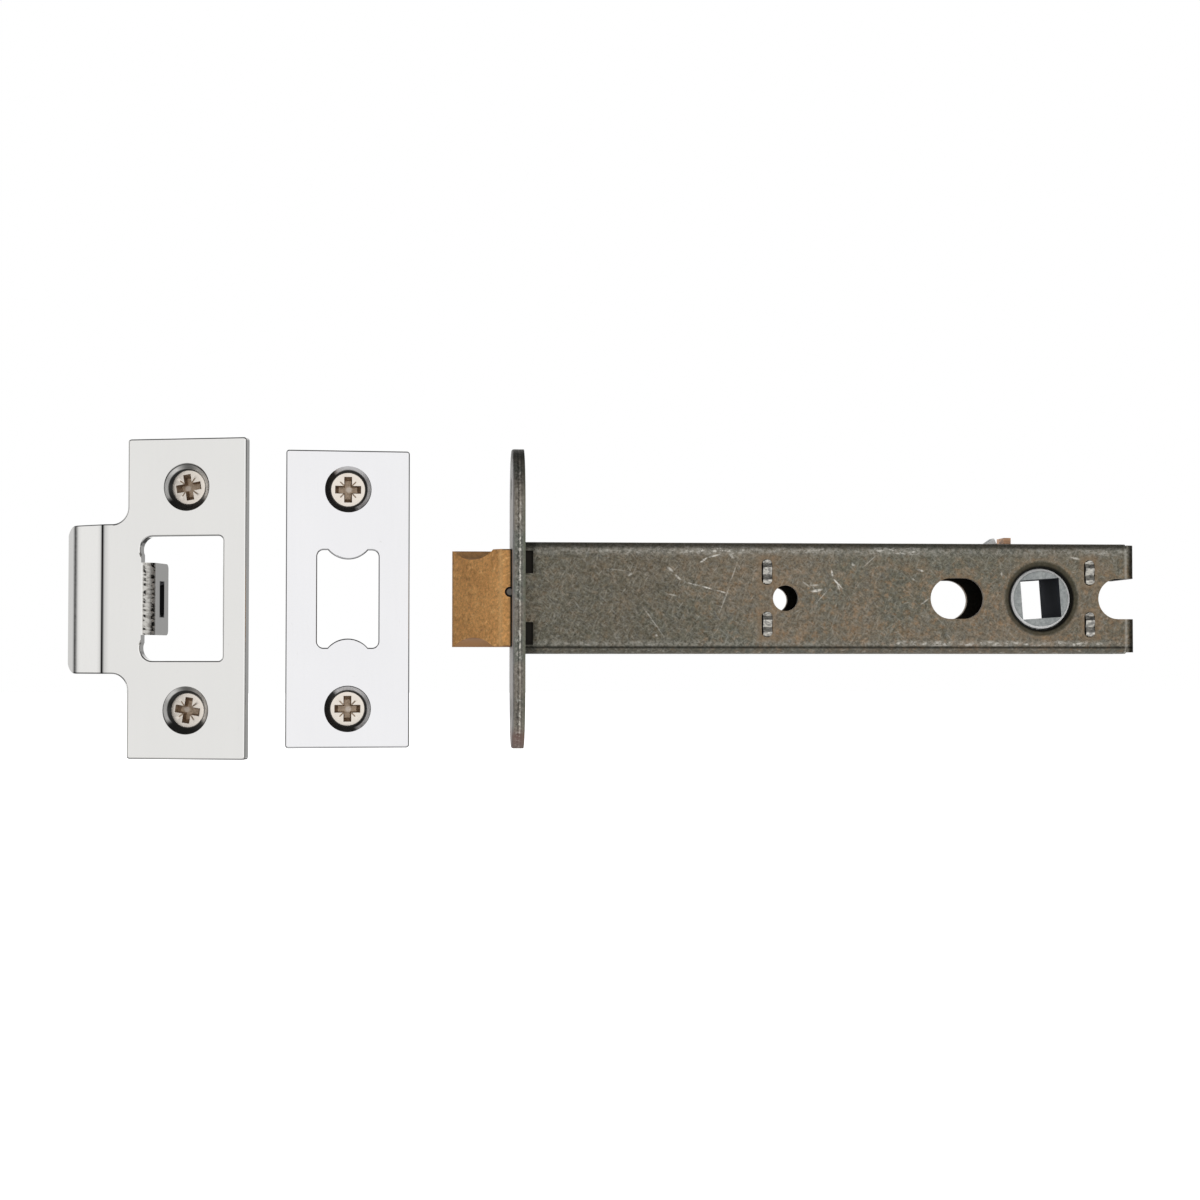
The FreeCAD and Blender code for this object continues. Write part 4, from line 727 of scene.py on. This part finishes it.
def plate_chrome(colours):
    """Bright plating: faint polishing lines, slight waves, a few pits, broken painted dark lines along bends
    and painted shade on edges, countersinks and the tang's slot.
    """
    chrome = Finish("plate_chrome")
    place = chrome.place
    waves = place.cloud(16.0, 2.0, 0.5)
    lines = place.stretched((0.6, 2.0, 14.0)).cloud(1.0, 3.0, 0.6)
    pits = place.cloud(0.9, 2.0, 0.9)
    strike = chrome.x.rise(*BETWEEN_PLATES)
    front = (-chrome.facing[1]).rise(0.02, 0.12)
    across, above = from_screw(chrome)
    radius = distance(across * TILT_STRETCH, above)
    outside = radius.rise(5.2, 5.5)

    tone = strike.mix(colours.chrome, colours.strike)
    tone = (pits.rise(0.70, 0.78) * 0.30).mix(tone, PIT)
    tone = tone.tint(0.97 + 0.04 * waves + 0.03 * lines)
    tone, tang = strike_bends(chrome, tone, front, outside)
    tone = plate_edges(chrome, tone, strike, outside)
    tone, sink = countersinks(chrome, tone, strike, front, radius)
    tone = slotted_tang(chrome, tone)
    roughness = 0.05 + 0.05 * lines + 0.35 * sink.most(tang)
    return chrome.set(base_color=tone, metallic=1.0, roughness=roughness,
                      normal=(waves + 0.05 * lines).bump(0.05, 0.25))


def screw_nickel(colours):
    """Warm nickel, gritty and faintly stained."""
    nickel = Finish("screw_nickel")
    place = nickel.place
    grit = place.cloud(0.6, 3.0, 0.65)
    clouds = place.cloud(2.4, 3.0, 0.6)
    tone = (clouds.rise(0.50, 0.75) * 0.25).mix(colours.nickel, NICKEL_STAIN)
    tone = tone.tint(0.90 + 0.18 * grit)
    return nickel.set(base_color=tone, metallic=1.0, roughness=0.20 + 0.16 * grit,
                      normal=grit.bump(0.012, 0.5))


def recess_brown(colours):
    """Dull brown inside of a pressed recess, brighter in the middle."""
    drive = Finish("recess_brown")
    grit = drive.place.cloud(0.5, 3.0, 0.7)
    tone = grit.rise(0.3, 0.7).mix(DRIVE_DARK, colours.drive)
    tone = (distance(*from_screw(drive)).rise(0.80, 0.35) * 0.6).mix(tone, DRIVE_MIDDLE)
    return drive.set(base_color=tone, metallic=1.0, roughness=0.45 + 0.2 * grit,
                     normal=grit.bump(0.03, 0.6))


def spring_wire(colours):
    """Drawn wire with dark oil stains."""
    wire = Finish("spring_wire")
    stains = wire.place.cloud(1.8, 3.0, 0.65)
    grit = wire.place.cloud(0.4, 2.0, 0.6)
    tone = stains.rise(0.40, 0.66).mix(OIL, colours.wire)
    return wire.set(base_color=tone.tint(0.75 + 0.5 * grit), metallic=1.0, roughness=0.25 + 0.25 * stains,
                    normal=grit.bump(0.01, 0.5))


def drawn_line(name, points):
    """A new piece of edges from point to point, in millimetres, left open in edit mode."""
    bpy.ops.mesh.primitive_plane_add(size=MM)
    piece = bpy.context.object
    piece.name = piece.data.name = name
    bpy.ops.object.mode_set(mode="EDIT")
    bpy.ops.mesh.select_all(action="SELECT")
    bpy.ops.mesh.merge(type="CENTER")
    bpy.ops.transform.translate(value=Vector(points[0]) * MM)
    for here, there in zip(points, points[1:]):
        step = (Vector(there) - Vector(here)) * MM
        bpy.ops.mesh.extrude_region_move(TRANSFORM_OT_translate={"value": step})
    return piece


def select(*pieces):
    """Selects only these pieces and makes the first one active."""
    bpy.ops.object.select_all(action="DESELECT")
    for piece in pieces:
        piece.select_set(True)
    bpy.context.view_layer.objects.active = pieces[0]


def apply_modifier(piece, kind, **settings):
    """Adds a modifier, sets it up and applies it."""
    bpy.context.view_layer.objects.active = piece
    modifier = piece.modifiers.new(kind.lower(), kind)
    for name, setting in settings.items():
        setattr(modifier, name, setting)
    bpy.ops.object.modifier_apply(modifier=modifier.name)


def turned(name, profile, steps):
    """A solid turned about Y from a profile of radius and depth in millimetres."""
    piece = drawn_line(name, [(radius, depth, 0.0) for radius, depth in profile])
    bpy.ops.mesh.select_all(action="SELECT")
    bpy.ops.mesh.spin(steps=steps, angle=2.0 * math.pi, center=(0.0, 0.0, 0.0), axis=(0.0, 1.0, 0.0))
    bpy.ops.mesh.select_all(action="SELECT")
    bpy.ops.mesh.remove_doubles(threshold=WELD * MM)
    bpy.ops.mesh.normals_make_consistent(inside=False)
    bpy.ops.object.mode_set(mode="OBJECT")
    return piece


def wedge(name, span, width, depth, draft, turn):
    """A tapering bar across the screw's axis, used to cut one groove."""
    bpy.ops.mesh.primitive_cube_add(size=1.0, location=(0.0, 0.0, 0.0))
    bar = bpy.context.object
    bar.name = bar.data.name = name
    bpy.ops.object.mode_set(mode="EDIT")
    bpy.ops.mesh.select_all(action="SELECT")
    flare = 2.0 / (1.0 + draft)
    mouth = (span * flare, 2.0 * depth, width * flare)
    bpy.ops.transform.resize(value=mouth, center_override=(0.0, 0.0, 0.0))
    bpy.ops.mesh.select_all(action="DESELECT")
    bpy.ops.object.mode_set(mode="OBJECT")
    for face in bar.data.polygons:
        face.select = face.normal.y > 0.9
    bpy.ops.object.mode_set(mode="EDIT")
    bpy.ops.transform.resize(value=(draft, 1.0, draft), center_override=(0.0, depth, 0.0))
    bpy.ops.object.mode_set(mode="OBJECT")
    bar.data.transform(Matrix.Rotation(turn, 4, "Y"))
    return bar


def cut(piece, cutter):
    """Cuts a tool's shape out of a piece and removes the tool."""
    apply_modifier(piece, "BOOLEAN", operation="DIFFERENCE", solver="EXACT", object=cutter)
    bpy.data.objects.remove(cutter)


def joined(first, *others):
    """Joins pieces into the first one."""
    select(first, *others)
    bpy.ops.object.join()
    return first


def smooth_by_angle(piece, degrees):
    """Rounds the shading over shallow edges."""
    select(piece)
    bpy.ops.object.shade_smooth_by_angle(angle=math.radians(degrees))


def screw_thread(sizes):
    """The ridge that winds round the shank and fades out at the point."""
    root, crest = sizes.core / 2 / MM - THREAD_SUNK, sizes.shank / 2 / MM + THREAD_PROUD
    below, above = (root, -THREAD_FOOT, 0.0), (root, THREAD_FOOT, 0.0)
    ridge = drawn_line("screw_thread", [below, (crest, 0.0, 0.0), above, below])
    bpy.ops.mesh.select_all(action="SELECT")
    bpy.ops.mesh.remove_doubles(threshold=WELD * MM)
    bpy.ops.object.mode_set(mode="OBJECT")
    turns = int((sizes.screw / MM - THREAD_END - THREAD_START) / (sizes.thread / MM))
    apply_modifier(ridge, "SCREW", axis="Y", angle=2.0 * math.pi, iterations=turns, steps=THREAD_STEPS,
                   render_steps=THREAD_STEPS, screw_offset=sizes.thread, use_merge_vertices=True,
                   merge_threshold=0.01 * MM)
    low = min(vertex.co.y for vertex in ridge.data.vertices)
    for vertex in ridge.data.vertices:
        depth = vertex.co.y - low + THREAD_START * MM
        shrink = max(THREAD_TIP, min(1.0, (sizes.screw - depth) / sizes.point))
        vertex.co = (vertex.co.x * shrink, depth, vertex.co.z * shrink)
    bpy.ops.object.mode_set(mode="EDIT")
    bpy.ops.mesh.select_all(action="SELECT")
    bpy.ops.mesh.fill_holes(sides=3)
    bpy.ops.mesh.select_all(action="SELECT")
    bpy.ops.mesh.normals_make_consistent(inside=False)
    bpy.ops.object.mode_set(mode="OBJECT")
    return ridge


def wood_screw(sizes):
    """One countersunk wood screw on Y, its crown at the origin."""
    head, rim = sizes.head / 2 / MM, sizes.head_rim / MM
    shank, core, tip = sizes.shank / 2 / MM, sizes.core / 2 / MM, sizes.screw / MM
    neck = rim + (head - rim * 0.2 - shank)
    screw = turned("wood_screw", [
        (0.0, 0.0), (head - 0.55, 0.0), (head - 0.16, 0.05), (head, rim), (shank + 0.15, neck),
        (shank, neck + 0.3), (shank, THREAD_START - 0.4), (core, THREAD_START + 0.2),
        (core, tip - sizes.point / MM), (0.15, tip - 0.06), (0.0, tip),
    ], SCREW_STEPS)
    for turn in (0.0, math.pi / 2):
        cut(screw, wedge("wing", sizes.recess, sizes.wing, sizes.recess_depth, WING_DRAFT, turn))
    for turn in (math.pi / 4, -math.pi / 4):
        span, width, depth = sizes.recess * TICK_SPAN, TICK_WIDTH * MM, TICK_DEPTH * MM
        cut(screw, wedge("tick", span, width, depth, TICK_DRAFT, turn))
    smooth_by_angle(screw, 30.0)
    thread = screw_thread(sizes)
    smooth_by_angle(thread, 40.0)
    return joined(screw, thread)


def mark_recess(screw, sizes):
    """Gives the faces inside the cross recess the screw's second finish."""
    reach, crown, floor = sizes.recess / 2 + 0.1 * MM, 0.03 * MM, 1.2 * sizes.recess_depth
    for face in screw.data.polygons:
        middle = face.center
        inside = math.hypot(middle.x, middle.z) < reach and crown < middle.y < floor
        face.material_index = int(inside and face.normal.y < 0.2)


def screw_place(plate, sign, head):
    """Where a plate's upper or lower screw stands, for a head of that diameter."""
    spec = PLATES[plate]
    crown = (spec["mouth"] - head / MM) / 2 - SEAT_GAP
    middle = Matrix.Translation((spec["middle"][0] * MM, spec["middle"][1] * MM, 0.0))
    turn = Matrix.Rotation(math.radians(spec["tilt"]), 4, "Z")
    seat = Matrix.Translation((0.0, crown * MM, sign * spec["pitch"] / 2 * MM))
    return middle @ turn @ seat @ Matrix.Rotation(math.radians(spec["turn"] * sign), 4, "Y")


def wound_wire(name, points, wire):
    """A round wire along points in millimetres, made a mesh."""
    line = bpy.data.curves.new(name, "CURVE")
    line.dimensions = "3D"
    line.bevel_depth = wire / 2
    line.bevel_resolution = 4
    line.use_fill_caps = True
    spline = line.splines.new("POLY")
    spline.points.add(len(points) - 1)
    for point, place in zip(spline.points, points):
        point.co = (*(Vector(place) * MM), 1.0)
    coil = bpy.data.objects.new(name, line)
    bpy.context.scene.collection.objects.link(coil)
    select(coil)
    bpy.ops.object.convert(target="MESH")
    coil = bpy.context.object
    smooth_by_angle(coil, 50.0)
    return coil


class LATCH_OT_stage(bpy.types.Operator):
    """Set up the camera, the soft light all round and the floor"""

    bl_idname = "latch.stage"
    bl_label = "Stage"

    def execute(self, context):
        view, colours = context.scene.latch_view, context.scene.latch_colours
        lens = bpy.data.cameras.new("camera")
        lens.lens, lens.sensor_width = view.lens, 36.0
        lens.clip_start, lens.clip_end = 0.01, 20.0
        camera = bpy.data.objects.new("camera", lens)
        camera.location = view.eye
        camera.rotation_euler = (math.pi / 2 + view.pitch, 0.0, -view.yaw)
        context.scene.collection.objects.link(camera)
        context.scene.camera = camera
        context.scene.view_settings.view_transform = "Standard"
        self.light_room(context.scene)
        self.lay_floor(view.floor, colours.floor)
        return {"FINISHED"}

    def light_room(self, scene):
        """White panels in front, at the left and behind, dark gaps between them, a dark ceiling."""
        room = bpy.data.worlds.new("soft_room")
        room.use_nodes = True
        scene.world = room
        start = Shade(room.node_tree)
        way = start.node("ShaderNodeTexCoord", None, None, "Generated")
        x, y, z = way.axes()
        round_about = x.math("ARCTAN2", x, -y) / (2.0 * math.pi) + 0.5
        panels = round_about.node("ShaderNodeValToRGB", {"stops": [
            (0.000, 1.0), (0.100, 1.0), (0.125, 0.68), (0.196, 0.68), (0.208, 0.05), (0.226, 0.05),
            (0.236, 0.92), (0.304, 0.92), (0.316, 0.04), (0.368, 0.04), (0.384, 0.89), (0.412, 0.89),
            (0.435, 1.0), (0.622, 1.0), (0.650, 0.04), (0.800, 0.04), (0.830, 0.38), (0.908, 0.34),
            (0.930, 1.0), (1.000, 1.0),
        ]}, {0: round_about})
        seen = z.node("ShaderNodeValToRGB", {"stops": [
            (0.0, 0.85), (0.18, 0.85), (0.25, 0.10), (0.33, 0.10), (0.38, 1.0),
            (0.75, 1.0), (0.82, 0.10), (0.95, 0.12), (1.0, 0.30),
        ]}, {0: z * 0.5 + 0.5})
        low = z.rise(-0.20, -0.36).most(z.rise(0.48, 0.62))
        light = low.mix(panels, seen)
        camera_ray = start.node("ShaderNodeLightPath", None, None, "Is Camera Ray")
        light = camera_ray.mix(light, (1.0, 1.0, 1.0))
        ground = room.node_tree.nodes["Background"]
        room.node_tree.links.new(light.socket, ground.inputs["Color"])

    def lay_floor(self, height, tone):
        """A wide pale floor, faintly cloudy."""
        bpy.ops.mesh.primitive_plane_add(size=12.0, location=(0.0, 0.0, height))
        floor = bpy.context.object
        floor.name = "floor"
        pale = Finish("pale_floor")
        haze = pale.place.cloud(90.0, 2.0, 0.5)
        white = haze.rise(0.2, 0.8).mix(HAZE, tone)
        finish = pale.set(base_color=white, roughness=0.9, emission_color=(1.0, 1.0, 1.0, 1.0),
                          emission_strength=1.0)
        floor.data.materials.append(finish)
        floor.visible_glossy = False


class DressStep:
    """What the steps share that only give CAD nodes their finishes."""

    def execute(self, context):
        for finish, *nodes in self.finishes:
            dress(finish(context.scene.latch_colours), *nodes)
        return {"FINISHED"}


class LATCH_OT_case(DressStep, bpy.types.Operator):
    """Finish both sides of the case"""

    bl_idname = "latch.case"
    bl_label = "Case"
    finishes = ((case_steel, "case_shell", "case_cover"),)


class LATCH_OT_forend(DressStep, bpy.types.Operator):
    """Finish the forend"""

    bl_idname = "latch.forend"
    bl_label = "Forend"
    finishes = ((forend_steel, "forend_plate"),)


class LATCH_OT_stakes(DressStep, bpy.types.Operator):
    """Finish the staked cross plates"""

    bl_idname = "latch.stakes"
    bl_label = "Staked plates"
    finishes = ((stake_steel, "spring_abutment", "rear_spacer"),)


class LATCH_OT_bolt(DressStep, bpy.types.Operator):
    """Finish the bolt, its cross pin and its tail"""

    bl_idname = "latch.bolt"
    bl_label = "Bolt"
    finishes = ((bolt_brass, "latch_bolt"), (pin_steel, "bolt_pin"), (tail_copper, "tail_bar"))


class LATCH_OT_follower(DressStep, bpy.types.Operator):
    """Finish the follower"""

    bl_idname = "latch.follower"
    bl_label = "Follower"
    finishes = ((follower_zinc, "follower"),)


class LATCH_OT_plates(DressStep, bpy.types.Operator):
    """Finish the cover plate and the strike plate"""

    bl_idname = "latch.plates"
    bl_label = "Plates"
    finishes = ((plate_chrome, "cover_plate", "strike_plate"),)


class LATCH_OT_screws(bpy.types.Operator):
    """Make the four wood screws"""

    bl_idname = "latch.screws"
    bl_label = "Wood screws"

    def execute(self, context):
        sizes, colours = context.scene.latch_sizes, context.scene.latch_colours
        screw = wood_screw(sizes)
        screw.data.materials.clear()
        screw.data.materials.append(screw_nickel(colours))
        screw.data.materials.append(recess_brown(colours))
        mark_recess(screw, sizes)
        for plate in PLATES:
            for level, sign in (("upper", 1), ("lower", -1)):
                copy = bpy.data.objects.new("%s_screw_%s" % (plate, level), screw.data.copy())
                context.scene.collection.objects.link(copy)
                copy.data.transform(screw_place(plate, sign, sizes.head))
                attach(copy, "case")
                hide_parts(plate + "_screws")
        bpy.data.objects.remove(screw)
        return {"FINISHED"}


class LATCH_OT_springs(bpy.types.Operator):
    """Wind the bolt spring and the return spring"""

    bl_idname = "latch.springs"
    bl_label = "Springs"

    def execute(self, context):
        sizes, colours = context.scene.latch_sizes, context.scene.latch_colours
        finish = spring_wire(colours)
        self.wind_bolt_spring(sizes, finish)
        self.wind_return_spring(sizes, finish)
        return {"FINISHED"}

    def wind_bolt_spring(self, sizes, finish):
        """The compression spring between the bolt and the front cross plate."""
        low, high = (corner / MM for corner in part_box("bolt_spring"))
        wire, radius = sizes.bolt_wire / MM, (sizes.bolt_spring - sizes.bolt_wire) / 2 / MM
        middle, steps = (low.z + high.z) / 2, int(sizes.bolt_turns * BOLT_SPRING_STEPS)
        start, end = low.x + wire / 2, high.x - wire / 2
        points = []
        for step in range(steps + 1):
            angle = 2.0 * math.pi * sizes.bolt_turns * step / steps
            points.append((start + (end - start) * step / steps, radius * math.sin(angle),
                           middle + radius * math.cos(angle)))
        coil = wound_wire("bolt_spring_coil", points, sizes.bolt_wire)
        coil.data.materials.append(finish)
        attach(coil, "case")
        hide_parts("bolt_spring")
        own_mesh(coil)

    def wind_return_spring(self, sizes, finish):
        """The torsion spring round the hub: hook under the follower's ear, winding, leg against the roof."""
        low, high = (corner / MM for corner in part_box("follower_spring"))
        radius = (high.x - low.x - sizes.return_wire / MM) / 2
        rise, bend, turns = sizes.return_rise / MM, sizes.hook_bend / MM, sizes.return_turns
        climb = math.atan2(rise, 2.0 * math.pi * radius * turns)
        far = high.y - sizes.hook / MM - bend * math.cos(climb)
        middle_y, middle_z = far + bend * math.cos(climb), bend * math.sin(climb)
        points = [(radius, high.y, middle_z - bend)]
        for step in range(HOOK_STEPS):
            angle = (math.pi / 2 - climb) * step / HOOK_STEPS
            points.append((radius, middle_y - bend * math.sin(angle), middle_z - bend * math.cos(angle)))
        steps = int(turns * RETURN_SPRING_STEPS)
        for step in range(steps + 1):
            angle = 2.0 * math.pi * turns * step / steps
            points.append((radius * math.cos(angle), far - rise * step / steps, radius * math.sin(angle)))
        end, leg = points[-1], sizes.leg / MM
        points.append((end[0] - leg * math.cos(sizes.leg_lean), end[1] - leg * math.tan(climb),
                       end[2] + leg * math.sin(sizes.leg_lean)))
        points = [(SPINDLE + x, y, z) for x, y, z in points]
        coil = wound_wire("follower_spring_coil", points, sizes.return_wire)
        coil.data.materials.append(finish)
        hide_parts("follower_spring")
        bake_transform(coil)


class LATCH_PT_panel(bpy.types.Panel):
    """Steps that finish the latch, in order"""

    bl_idname = "LATCH_PT_panel"
    bl_label = "Tubular latch"
    bl_space_type = "VIEW_3D"
    bl_region_type = "UI"
    bl_category = "Latch"

    def draw(self, context):
        for step in STEPS:
            self.layout.operator(step.bl_idname)
        for group in (context.scene.latch_sizes, context.scene.latch_colours, context.scene.latch_view):
            box = self.layout.box()
            for name in group.__annotations__:
                box.prop(group, name)


STEPS = (LATCH_OT_stage, LATCH_OT_case, LATCH_OT_forend, LATCH_OT_stakes, LATCH_OT_bolt, LATCH_OT_follower,
         LATCH_OT_plates, LATCH_OT_screws, LATCH_OT_springs)
GROUPS = {"latch_view": LatchView, "latch_sizes": LatchSizes, "latch_colours": LatchColours}


def register():
    for item in (*GROUPS.values(), *STEPS, LATCH_PT_panel):
        bpy.utils.register_class(item)
    for name, group in GROUPS.items():
        setattr(bpy.types.Scene, name, bpy.props.PointerProperty(type=group))


def unregister():
    for name in GROUPS:
        delattr(bpy.types.Scene, name)
    for item in (LATCH_PT_panel, *reversed(STEPS), *reversed(tuple(GROUPS.values()))):
        bpy.utils.unregister_class(item)


def main():
    register()
    bpy.ops.latch.stage()
    bpy.ops.latch.case()
    bpy.ops.latch.forend()
    bpy.ops.latch.stakes()
    bpy.ops.latch.bolt()
    bpy.ops.latch.follower()
    bpy.ops.latch.plates()
    bpy.ops.latch.screws()
    bpy.ops.latch.springs()


if __name__ == "__main__":
    main()
